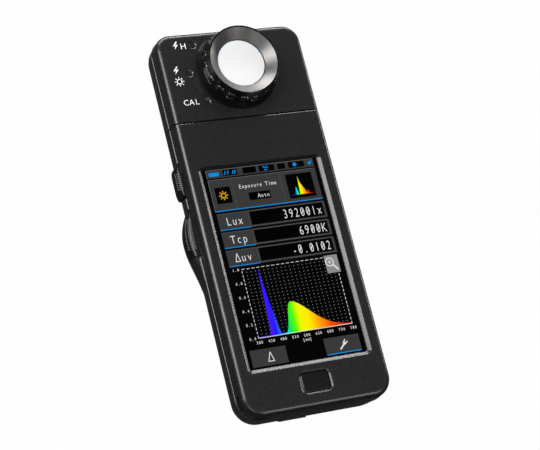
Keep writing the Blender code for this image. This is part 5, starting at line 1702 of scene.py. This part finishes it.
@dataclass
class TouchScreen:
    """The touch panel, and the lit picture of the display with its places in millimetres."""

    top: float = 25.2 * MM
    size: Point = (62.0 * MM, 98.9 * MM)
    thick: float = 1.0 * MM
    corner: float = 2.3 * MM
    sink: float = 0.02 * MM
    layer: float = 0.02 * MM
    strip: Span = (-26.6, 27.0, 20.0, 24.0)
    exposure: Span = (-26.6, 27.0, 4.3, 19.3)
    tabs: tuple[Span, ...] = ((-26.8, -9.6, -69.0, -61.2), (9.2, 26.6, -69.0, -61.2))
    zoom: Span = (19.8, 26.4, -31.6, -23.2)
    graph: Span = (-21.0, 25.2, -56.2, -24.0)
    strip_boxes: tuple[Point, ...] = ((-18.5, -11.4), (-8.6, -2.0), (-0.6, 7.2), (8.8, 12.6), (14.2, 22.2))
    strip_box_rise: Point = (20.6, 23.5)
    exposure_boxes: tuple[Span, ...] = ((-24.4, -16.9, 7.6, 15.4), (-8.6, 2.0, 7.6, 11.3), (11.2, 24.4, 5.8, 17.6))
    exposure_lines: tuple[float, ...] = (-15.4, 8.6)
    exposure_line_rise: Point = (4.9, 18.8)
    frame_width: float = 0.24
    thin: float = 0.16
    rows: tuple[tuple[str, str, float, float], ...] = (
        ("Lux", "39200lx", 3.0, -5.0),
        ("Tcp", "6900K", -5.9, -13.5),
        ("Δuv", "-0.0102", -14.5, -22.2),
    )
    row_sides: Point = (-26.3, 27.2)
    value_sides: Point = (-10.6, 26.0)
    value_inset: Point = (0.9, 0.7)
    underline_sides: Point = (-26.2, -11.2)
    underline_rise: Point = (-0.05, 0.3)
    grid_cells: tuple[int, int] = (22, 20)
    grid_dot: float = 0.3
    battery: tuple[Point, ...] = (
        (-25.4, 21.2), (-24.8, 20.9), (-21.0, 20.9), (-20.4, 21.3), (-20.4, 22.6), (-25.4, 22.6)
    )
    status_strokes: tuple[Stroke, ...] = (
        ((-17.9, 21.1), (-16.9, 22.9), 0.45),
        ((-16.4, 21.1), (-15.6, 22.9), 0.45),
        ((-13.9, 21.1), (-13.1, 22.9), 0.45),
        ((-12.8, 21.1), (-12.2, 22.9), 0.45),
        ((1.5, 22.9), (2.7, 22.2), 0.5),
        ((3.1, 22.9), (4.0, 22.0), 0.5),
        ((1.9, 21.4), (3.3, 21.1), 0.5),
    )
    status_discs: tuple[tuple[Point, float], ...] = (((17.4, 22.1), 0.95), ((25.0, 22.0), 0.7))
    status_tail: Stroke = ((24.4, 21.2), (26.2, 22.9), 0.45)
    strip_rule: Span = (-26.6, 27.0, 4.0, 4.4)
    tab_rule: Span = (9.4, 26.4, -69.0, -68.6)
    captions: tuple[tuple[str, float, float, float, float, float], ...] = (
        ("Auto", -4.4, 8.5, 1.9, 1.5, 0.85),
        ("Exposure Time", -12.6, 13.7, 1.9, 1.46, 0.82),
    )
    label_style: tuple[float, ...] = (3.9, 2.9, 0.78, 0.012)
    label_place: Point = (-22.9, -2.0)
    value_style: tuple[float, ...] = (4.3, 2.85, 0.68, 0.012)
    value_place: Point = (25.2, -2.1)
    slash: Stroke = ((-0.45, -0.9), (0.45, 0.9), 0.4)
    zoom_loop: tuple[Point, float, float] = ((22.0, -26.4), 1.9, 0.5)
    icon_strokes: tuple[Stroke, ...] = (
        ((21.1, -26.4), (22.9, -26.4), 0.4),
        ((22.0, -27.3), (22.0, -25.5), 0.4),
        ((23.4, -27.9), (25.6, -30.4), 0.7),
        ((-18.9, -67.2), (-17.4, -63.0), 0.35),
        ((-17.4, -63.0), (-16.1, -67.2), 0.35),
        ((-19.0, -67.2), (-16.0, -67.2), 0.35),
        ((16.4, -67.2), (19.4, -64.2), 0.7),
        ((18.2, -64.6), (19.6, -62.9), 0.5),
        ((18.9, -65.3), (20.6, -63.9), 0.5),
    )
    axis_width: float = 0.25
    axis_dash: Point = (0.22, 0.6)
    zoom_room: Point = (5.0, 7.5)
    height_figures: tuple[str, ...] = ("0.0", "0.2", "0.4", "0.6", "0.8", "1.0")
    height_place: Point = (-4.6, -0.6)
    height_style: tuple[float, ...] = (1.25, 1.2, 0.8)
    wave_figures: tuple[str, ...] = ("380", "430", "480", "530", "580", "630", "680", "730", "780")
    wave_place: Point = (-1.7, -2.6)
    wave_style: tuple[float, ...] = (1.3, 1.15, 0.8)
    unit_place: Point = (-0.5, -4.6)
    unit_style: tuple[float, ...] = (1.3, 1.1, 0.8)
    spectrum_stops: tuple[tuple[float, Colour], ...] = (
        (0.0, (0.05, 0.0, 0.30)),
        (0.10, (0.10, 0.01, 0.85)),
        (0.20, (0.02, 0.01, 1.0)),
        (0.27, (0.0, 0.25, 1.0)),
        (0.31, (0.0, 0.80, 0.75)),
        (0.35, (0.0, 0.85, 0.05)),
        (0.41, (0.10, 0.95, 0.0)),
        (0.47, (0.85, 0.95, 0.0)),
        (0.56, (1.0, 0.82, 0.0)),
        (0.66, (1.0, 0.36, 0.0)),
        (0.78, (0.95, 0.07, 0.0)),
        (1.0, (0.65, 0.0, 0.0)),
    )
    spectrum_lift: float = 0.15
    spectrum_layers: Point = (3.2, 2.5)
    spectrum_steps: int = 180
    picture: tuple[float, float, float] = (12.6, 23.4, 7.4)
    picture_height: float = 9.2
    picture_steps: int = 60
    picture_shift: float = 0.07
    sun: tuple[Point, float, float] = ((-20.7, 11.4), 2.2, 0.4)

    def sheet(self, level: int) -> Sheet:
        """An empty sheet on the panel, higher with each level."""
        return Sheet(self.top - self.sink, self.sink + self.layer * level)

    def show(self, sheet: Sheet, name: str, finish: Finish) -> None:
        """Makes a sheet one piece of the display."""
        sheet.publish(name, finish, "body", "screen_dark")

    def panel(self) -> None:
        """The cover glass."""
        outline = rounded_rectangle(*self.size, self.corner, (0.0, SCREEN_Y))
        glass = scratch("cover_glass", loft([(self.top - self.thick, outline), (self.top, outline)]))
        publish(glass, GLASS, "body", ["touch_panel"])

    def fields(self) -> None:
        """Grey fields, black boxes and thin frames."""
        grey, black, line = self.sheet(1), self.sheet(2), self.sheet(3)
        grey.rectangles((self.strip, self.exposure))
        black.rectangles((*box_sides, *self.strip_box_rise) for box_sides in self.strip_boxes)
        black.rectangles(self.exposure_boxes)
        low, high = self.exposure_line_rise
        for x in self.exposure_lines:
            line.dashes((x, low), (x, high), self.thin, 14)
        inset = self.frame_width / 2
        for left, right, low, high in (self.strip, self.exposure):
            line.line((left, high - inset), (right, high - inset), self.frame_width)
            line.line((left + inset, low), (left + inset, high), self.frame_width)
        for _, _, high, low in self.rows:
            grey.rectangles([(*self.row_sides, low, high)])
            black.rectangles([(*self.value_sides, low + self.value_inset[0], high - self.value_inset[1])])
            for start, end, width, count, share in (
                ((-26.0, high - 0.3), (-11.4, high - 0.3), self.thin, 12, 0.5),
                ((-10.9, low + 0.45), (26.3, low + 0.45), 0.2, 30, 0.62),
                ((-10.9, high - 0.35), (26.3, high - 0.35), 0.2, 30, 0.62),
                ((26.5, low + 0.6), (26.5, high - 0.5), 0.2, 8, 0.5),
                ((-11.2, low + 0.6), (-11.2, high - 0.5), 0.2, 8, 0.5),
            ):
                line.dashes(start, end, width, count, share)
        grey.rectangles(self.tabs)
        zoom = self.sheet(3)
        zoom.rectangles([self.zoom])
        self.show(zoom, "display_zoom", LCD_MID)
        self.show(grey, "display_fields", LCD_GREY)
        self.show(black, "display_boxes", LCD_BLACK)
        self.grid()
        self.show(line, "display_frames", LCD_LINE)

    def grid(self) -> None:
        """The graph's dotted grid."""
        dots = self.sheet(3)
        left, right, low, high = self.graph
        columns, rows = self.grid_cells
        half = self.grid_dot / 2
        for column in range(1, columns):
            x = left + (right - left) * column / columns
            heights = [low + (high - low) * row / rows for row in range(1, rows)]
            dots.rectangles((x - half, x + half, y - half, y + half) for y in heights)
        self.show(dots, "display_grid", LCD_DOT)

    def accents(self) -> None:
        """Blue underlines and status marks."""
        blue = self.sheet(3)
        blue.outline(self.battery)
        blue.lines(self.status_strokes)
        for centre, radius in self.status_discs:
            blue.disc(centre, radius)
        blue.line(*self.status_tail)
        blue.rectangles([self.strip_rule])
        below, above = self.underline_rise
        blue.rectangles((*self.underline_sides, low + below, low + above) for _, _, _, low in self.rows)
        blue.rectangles([self.tab_rule])
        self.show(blue, "display_accents", LCD_BLUE)

    def readings(self) -> None:
        """White readings, labels, icons and the graph's figures."""
        white = self.sheet(4)
        pitch = self.value_style[1]
        (near_x, near_y), (far_x, far_y), width = self.slash
        for label, value, high, low in self.rows:
            middle = (high + low) / 2
            white.words(label, self.label_place[0], middle + self.label_place[1], *self.label_style)
            start = self.value_place[0] - pitch * len(value)
            white.words(value, start, middle + self.value_place[1], *self.value_style)
            for index, glyph in enumerate(value):
                if glyph == "0":
                    centre = start + pitch * (index + 0.5)
                    white.line((centre + near_x, middle + near_y), (centre + far_x, middle + far_y), width)
        for caption in self.captions:
            white.words(*caption)
        self.axes(white)
        white.loop(*self.zoom_loop)
        white.lines(self.icon_strokes)
        self.show(white, "display_readings", LCD_WHITE)

    def axes(self, white: Sheet) -> None:
        """The graph's frame and figures.

        Args:
            white: The sheet that takes them.
        """
        left, right, low, high = self.graph
        white.line((left, low), (right, low), self.axis_width)
        width, share = self.axis_dash
        for start, end, count in (
            ((left, low), (left, high), 17),
            ((left, high), (right - self.zoom_room[0], high), 17),
            ((right, low), (right, high - self.zoom_room[1]), 13),
        ):
            white.dashes(start, end, width, count, share)
        x, rise = self.height_place
        for step, figure in enumerate(self.height_figures):
            y = low + (high - low) * step / (len(self.height_figures) - 1)
            white.words(figure, left + x, y + rise, *self.height_style)
        shift, y = self.wave_place
        for step, figure in enumerate(self.wave_figures):
            x = left + (right - left) * step / (len(self.wave_figures) - 1)
            white.words(figure, x + shift, low + y, *self.wave_style)
        white.words("[nm]", self.unit_place[0], low + self.unit_place[1], *self.unit_style)

    def band_colour(self, share: float) -> Colour:
        """The colour of the spectrum at a share of the graph's width.

        Args:
            share: 0 at the violet end, 1 at the red end.

        Returns:
            The colour.
        """
        stops = self.spectrum_stops
        for (start, first), (end, second) in zip(stops, stops[1:]):
            if share <= end:
                part = (share - start) / (end - start)
                return tuple(a + (b - a) * part for a, b in zip(first, second))
        return stops[-1][1]

    def spike(self, share: float, centre: float, width: float) -> float:
        """A straight-sided spike's height at a share of the width, 1 at its centre."""
        return max(1 - abs(share - centre) / width, 0.0)

    def band_height(self, share: float) -> float:
        """The spectrum's height at a share of the graph's width: a blue peak and a broad hump.

        Args:
            share: 0 at the violet end, 1 at the red end.

        Returns:
            The height, from 0 to 1.
        """
        peak, peak_rise, peak_fall, peak_power = 0.165, 0.030, 0.085, 1.35
        hump, hump_height, base = 0.42, 0.44, 0.012
        blue = self.spike(share, peak, peak_rise if share < peak else peak_fall) ** peak_power
        spread, power = (0.075, 3.0) if share < hump else (0.26, 1.75)
        return max(blue, hump_height * math.exp(-abs((share - hump) / spread) ** power), base)

    def small_heights(self, share: float) -> float:
        """The small picture's height at a share of its width: three spikes, the middle one with a long slope.

        Args:
            share: 0 at the violet end, 1 at the red end.

        Returns:
            The height, from 0 to 1.
        """
        middle = 0.42
        first = 0.45 * self.spike(share, 0.24, 0.09)
        second = self.spike(share, middle, 0.05) ** 0.7
        slope = 0.72 * self.spike(share, middle, 0.30) if share > middle else 0.0
        return max(first, second, slope, 0.2 * self.spike(share, 0.76, 0.06), 0.02)

    def spectrum(
        self,
        name: str,
        span: tuple[float, float, float],
        high: float,
        heights: Callable[[float], float],
        steps: int,
        shift: float = 0.0,
    ) -> None:
        """A coloured spectrum.

        Args:
            name: The piece's name.
            span: Left side, right side and base line, in millimetres.
            high: The full height in millimetres.
            heights: The height at a share of the width.
            steps: Columns.
            shift: How far the colours are moved to the left, as a share of the width.
        """
        left, right, base = span
        top_layers, thick_layers = self.spectrum_layers
        shape = bmesh.new()
        layer = shape.loops.layers.float_color.new("band_colour")
        bmesh.ops.create_grid(shape, x_segments=steps, y_segments=1, size=0.5)
        for vert in shape.verts:
            share = vert.co.x + 0.5
            rise = heights(share) * high if vert.co.y > 0 else 0.0
            z = self.top + top_layers * self.layer
            vert.co = ((left + (right - left) * share) * MM, (base + rise) * MM, z)
        under = bmesh.ops.extrude_face_region(shape, geom=list(shape.faces))["geom"]
        moved = [item for item in under if isinstance(item, bmesh.types.BMVert)]
        bmesh.ops.translate(shape, vec=(0.0, 0.0, -thick_layers * self.layer), verts=moved)
        bmesh.ops.recalc_face_normals(shape, faces=shape.faces)
        for face in shape.faces:
            for loop in face.loops:
                share = (loop.vert.co.x / MM - left) / (right - left)
                loop[layer] = (*self.band_colour(min(max(share + shift, 0.0), 1.0)), 1.0)
        publish(scratch(name, shape), LCD_SPECTRUM, "body")

    def build(self) -> None:
        """Builds the panel and the picture."""
        self.panel()
        self.fields()
        self.accents()
        self.readings()
        left, right, low, high = self.graph
        span = (left, right, low + self.spectrum_lift)
        self.spectrum("display_spectrum", span, high - low, self.band_height, self.spectrum_steps)
        small = (self.picture_height, self.small_heights, self.picture_steps, self.picture_shift)
        self.spectrum("display_picture", self.picture, *small)
        amber = self.sheet(4)
        amber.sun(*self.sun)
        self.show(amber, "display_sun", LCD_AMBER)


@dataclass
class HeadMarks:
    """Printed position marks beside the selector ring, one at each dimple."""

    sink: float = 0.02 * MM
    stand: float = 0.02 * MM
    bolts: tuple[Point, ...] = ((-26.7, 85.5), (-29.3, 73.2))
    bolt_size: float = 4.0
    sun: tuple[Point, float, float] = ((-28.9, 67.6), 2.3, 0.42)
    words: tuple[tuple[str, float, float, float, float], ...] = (
        ("H", -24.6, 83.5, 2.9, 3.2),
        ("CAL", -29.6, 55.7, 2.7, 2.7),
    )

    def build(self) -> None:
        """Builds the marks."""
        marks = Sheet(METER.depth - self.sink, self.sink + self.stand)
        for centre in self.bolts:
            marks.bolt(centre, self.bolt_size)
        marks.sun(*self.sun)
        for word in self.words:
            marks.words(*word)
        marks.publish("position_marks", PRINT, "head", "diffuser_white")


@dataclass
class MenuButton:
    """The low button under the screen."""

    sink: float = 0.4 * MM
    slope: Point = (0.5 * MM, 0.29 * MM)
    dish: float = 0.12 * MM
    dish_shares: tuple[float, ...] = (1.0, 0.97, 0.75, 0.5, 0.2)
    flange: float = 0.9 * MM
    flange_thick: float = 0.8 * MM
    stem_radius: float = 1.6 * MM
    stem_sides: int = 32

    def build(self) -> None:
        """Builds the button with its flange and stem."""
        top = METER.depth - self.sink
        flange_top = METER.face_in_z - METER.play
        wide = rounded_rectangle(*(length + 2 * self.flange for length in MENU_SIZE), MENU_ROUND)
        narrow = rounded_rectangle(*MENU_SIZE, MENU_ROUND)
        sections = [
            (flange_top - self.flange_thick, wide),
            (flange_top, wide),
            (flange_top, narrow),
            (top - self.slope[1], narrow),
        ]
        for share in self.dish_shares:
            size = [share * (length - 2 * self.slope[0]) for length in MENU_SIZE]
            z = top - self.dish * (1 - share**2) ** 2
            sections.append((z, rounded_rectangle(*size, (MENU_ROUND - self.slope[0] / 2) * share)))
        button = scratch("menu_key_top", loft(sections, upright(0.0, MENU_Y)))
        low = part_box("menu_button")[0].z
        stem = rod(self.stem_radius, (0.0, MENU_Y, low), (0.0, MENU_Y, flange_top), self.stem_sides)
        worked(button, Cut.JOIN, [scratch("menu_stem_tool", stem)])
        publish(button, KEYS, "menu_key", ["menu_button"])


@dataclass
class BackFittings:
    """What shows on the back and the right side: screws, tripod bush, flap and sockets."""

    head_radius: float = 2.3 * MM
    head_height: float = 1.6 * MM
    shank_radius: float = 1.1 * MM
    rim_share: float = 0.45
    crown_share: Point = (0.72, 0.10)
    flat_share: float = 0.35
    screw_steps: int = 48
    recess_width: float = 0.55 * MM
    recess_reach: float = 1.35 * MM
    recess_depth: float = 0.9 * MM
    recess_taper: float = 0.5
    bush_bore: float = 2.7 * MM
    bush_steps: int = 96
    thread_pitch: float = 1.27 * MM
    thread_depth: float = 0.45 * MM
    thread_crest: Point = (0.08 * MM, 0.22 * MM)
    thread_root: Point = (0.55, 0.65)
    thread_end: float = 0.1 * MM
    flap_edge: float = 0.15 * MM

    def screw(self, node: str, body: str) -> None:
        """A pan-head screw with a cross recess, driven from the back.

        Args:
            node: The screw's node.
            body: The body that it rides on.
        """
        low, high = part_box(node)
        place = upright((low.x + high.x) / 2, (low.y + high.y) / 2)
        seat = low.z + self.head_height
        corners = [
            ((0.0, high.z), 0.0),
            ((self.shank_radius / 2, high.z), 0.0),
            ((self.shank_radius, high.z - self.shank_radius / 2), 0.0),
            ((self.shank_radius, seat), 0.1),
            ((self.head_radius, seat), 0.15),
            ((self.head_radius, seat - self.head_height * self.rim_share), 0.5),
            ((self.head_radius * self.crown_share[0], low.z + self.head_height * self.crown_share[1]), 0.6),
            ((self.head_radius * self.flat_share, low.z), 0.4),
            ((0.0, low.z), 0.0),
        ]
        screw = scratch(node + "_cross", spun(eased(corners), self.screw_steps, place))
        half = self.recess_width / 2
        ends = (
            (low.z - METER.overrun, self.recess_reach),
            (low.z + self.recess_depth, self.recess_reach * self.recess_taper),
        )
        blade = [(z, rectangle(-reach, reach, -half, half)) for z, reach in ends]
        worked(screw, Cut.AWAY, [scratch("blade", loft(blade, place @ turned(deg))) for deg in (45, 135)])
        publish(screw, SCREW, body, [node])

    def bush(self) -> None:
        """The tripod bush with its thread."""
        low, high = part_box("tripod_bush")
        radius, bore, lead = (high.x - low.x) / 2, self.bush_bore, METER.play
        profile = [(radius, high.z), (radius, low.z + lead / 2), (radius - lead / 2, low.z), (bore + lead, low.z)]
        turns = int((high.z - low.z - 2 * lead) / self.thread_pitch)
        start = low.z + lead
        for turn in range(turns):
            z = start + turn * self.thread_pitch
            profile += [(bore, z + rise) for rise in self.thread_crest]
            profile += [(bore + self.thread_depth, z + self.thread_pitch * share) for share in self.thread_root]
        profile += [(bore, start + turns * self.thread_pitch + self.thread_end), (bore, high.z)]
        place = upright((low.x + high.x) / 2, (low.y + high.y) / 2)
        publish(scratch("threaded_bush", spun(profile, self.bush_steps, place)), BRASS, "body", ["tripod_bush"])

    def build(self, nodes: dict[str, Piece]) -> None:
        """Builds the fittings.

        Args:
            nodes: The frame's nodes.
        """
        for part in ("body", "head"):
            for place in ("top_left", "top_right", "low_left", "low_right"):
                self.screw(f"{part}_screw_{place}", part)
        self.bush()
        for node, name, body, finish, edge in (
            ("usb_flap", "rubber_flap", "flap", RUBBER, self.flap_edge),
            ("power_button", "power_key_top", "power_key", KEYS, 0.0),
            ("sync_socket", "sync_contact", "body", SPRING, 0.0),
            ("usb_socket", "usb_shell", "body", STEEL, 0.0),
        ):
            publish(clean_copy(nodes, node, name), finish, body, [node], edge=edge)


@dataclass
class InnerWorks:
    """Finishes of the frame's nodes that stay as they are."""

    finishes: tuple[tuple[Finish, tuple[str, ...]], ...] = (
        (FOAM, ("panel_gasket",)),
        (SCREEN, ("lcd_module",)),
        (STEEL, ("chassis_plate", "swivel_washer", "contact_bridge", "contact_plus", "contact_minus")),
        (BOARD, ("main_board", "side_board", "sensor_board")),
        (SWITCH, ("measure_switch", "memory_switch", "menu_switch", "power_switch", "harness_block")),
        (BUSHING, ("swivel_bearing", "swivel_hub")),
        (SPRING, ("swivel_clip", "spring_left", "spring_right")),
        (JACKET, ("battery_left", "battery_right")),
        (RUBBER, ("sensor_harness",)),
        (RING, ("receptor_core", "light_tube", "spectrometer_block", "range_disc")),
        (FILTER, ("grey_filter",)),
    )

    def build(self, nodes: dict[str, Piece]) -> None:
        """Gives each node its finish.

        Args:
            nodes: The frame's nodes.
        """
        for finish, names in self.finishes:
            for name in names:
                mesh = nodes[name].data
                mesh.materials.clear()
                mesh.materials.append(finish.material())
                LOG.info("%s: %s", name, finish.name)


@dataclass(frozen=True)
class Lamp:
    """A soft box that faces the meter: its way from it, distance, width and height, and how bright it is."""

    name: str
    way: Triple
    distance: float
    size: Point
    radiance: float

    def build(self) -> None:
        """Hangs the lamp."""
        data = bpy.data.lights.new(self.name, "AREA")
        data.shape = "RECTANGLE"
        data.size, data.size_y = self.size
        data.energy = self.radiance * math.pi * self.size[0] * self.size[1]
        obj = bpy.data.objects.new(self.name, data)
        place = Vector(self.way).normalized() * self.distance
        obj.matrix_world = Matrix.Translation(place) @ place.to_track_quat("Z", "Y").to_matrix().to_4x4()
        bpy.context.scene.collection.objects.link(obj)


@dataclass
class Studio:
    """Camera, soft lamps, plain floor and surroundings."""

    eye: Triple = (-0.3177, -0.2151, 0.7309)
    ahead: Triple = (0.394, 0.262, -0.881)
    above: Triple = (0.123, 0.935, 0.333)
    lens: float = 118.0
    sensor: float = 36.0
    clip_start: float = 0.01
    floor_size: Triple = (3.0, 3.0, 0.02)
    near_level: float = 0.018
    far_level: float = 0.22
    world_way: Triple = (0.0, 0.75, 0.66)
    world_span: Point = (-0.5, 0.7)
    world_gloss: float = 0.024
    floor_albedo: float = 0.07
    floor_roughness: float = 0.9
    floor_specular: float = 0.1
    floor_seen: float = 0.99
    floor_gloss: float = 0.012
    lamps: tuple[Lamp, ...] = (
        Lamp("left_box", (-0.60, 0.26, 0.76), 0.9, (0.35, 0.46), 13.5),
        Lamp("far_box", (0.10, 0.95, 0.20), 1.0, (1.25, 0.14), 22.0),
        Lamp("near_box", (0.394, -0.50, 0.77), 0.9, (0.38, 0.22), 7.0),
        Lamp("corner_box", (-0.31, -0.44, 0.84), 0.95, (0.36, 0.14), 6.0),
        Lamp("right_box", (0.96, 0.26, 0.12), 0.9, (0.30, 0.08), 18.0),
    )

    def camera(self) -> None:
        """The camera at the photograph's angle."""
        data = bpy.data.cameras.new("camera")
        data.lens = self.lens
        data.sensor_width = self.sensor
        data.clip_start = self.clip_start
        ahead = Vector(self.ahead).normalized()
        right = ahead.cross(Vector(self.above)).normalized()
        above = right.cross(ahead)
        matrix = Matrix((right, above, -ahead)).transposed().to_4x4()
        obj = bpy.data.objects.new("camera", data)
        obj.matrix_world = Matrix.Translation(self.eye) @ matrix
        bpy.context.scene.collection.objects.link(obj)
        bpy.context.scene.camera = obj

    def seen(self, sheet: NodeSheet, plain: float, gloss: float, total: Socket | float = 0.0) -> Socket:
        """A total to which each kind of ray adds its share.

        Args:
            sheet: The nodes.
            plain: What camera rays and transmission rays add.
            gloss: What glossy rays add.
            total: The total before that.

        Returns:
            The new total, clamped to 1.
        """
        path = sheet.node("LightPath").outputs
        for ray, share in (("Is Camera Ray", plain), ("Is Transmission Ray", plain), ("Is Glossy Ray", gloss)):
            values = {0: path[ray], 1: share, 2: total}
            total = sheet.node("Math", values, operation="MULTIPLY_ADD", use_clamp=True).outputs[0]
        return total

    def surroundings(self) -> None:
        """A soft grey world, darker on the near side, that the camera sees as white."""
        world = bpy.data.worlds.new("studio")
        bpy.context.scene.world = world
        sheet = NodeSheet(world)
        ways = {0: sheet.node("TexCoord").outputs["Generated"], 1: self.world_way}
        facing = sheet.node("VectorMath", ways, operation="DOT_PRODUCT").outputs["Value"]
        levels = (self.near_level, self.far_level)
        level = sheet.between(facing, *levels, *self.world_span, interpolation_type="SMOOTHSTEP")
        strength = self.seen(sheet, 1.0, self.world_gloss, level)
        sheet.fill(sheet.tree.nodes["Background"], {"Color": (1.0, 1.0, 1.0), "Strength": strength})

    def floor(self) -> None:
        """A plain pale floor under the meter, which keeps its shadow."""
        place = Matrix.Translation((0.0, 0.0, -self.floor_size[2] / 2))
        obj = scratch("floor", cube(place @ Matrix.Diagonal((*self.floor_size, 1.0))))
        made = bpy.data.materials.new("floor_white")
        sheet = NodeSheet(made)
        sheet.set(
            base_color=(self.floor_albedo,) * 3,
            roughness=self.floor_roughness,
            specular_ior_level=self.floor_specular,
        )
        shares = self.seen(sheet, self.floor_seen, self.floor_gloss)
        surfaces = {0: shares, 1: sheet.shader.outputs[0], 2: sheet.node("Emission").outputs[0]}
        mix = sheet.node("MixShader", surfaces).outputs[0]
        sheet.fill(sheet.tree.nodes["Material Output"], {"Surface": mix})
        obj.data.materials.append(made)

    def build(self) -> None:
        """Sets up the studio."""
        bpy.context.scene.view_settings.view_transform = "Standard"
        self.camera()
        self.surroundings()
        self.floor()
        for lamp in self.lamps:
            lamp.build()


def main() -> None:
    """Loads the frame, dresses the meter piece by piece and sets up the studio."""
    logging.basicConfig(level=logging.INFO, format="%(message)s")
    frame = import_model()
    nodes = frame["nodes"]
    FrontCovers().build()
    BackCovers().build(nodes)
    ReceptorTop().build()
    SideKeys().build()
    MenuButton().build()
    TouchScreen().build()
    HeadMarks().build()
    BackFittings().build(nodes)
    InnerWorks().build(nodes)
    Studio().build()


if __name__ == "__main__":
    main()
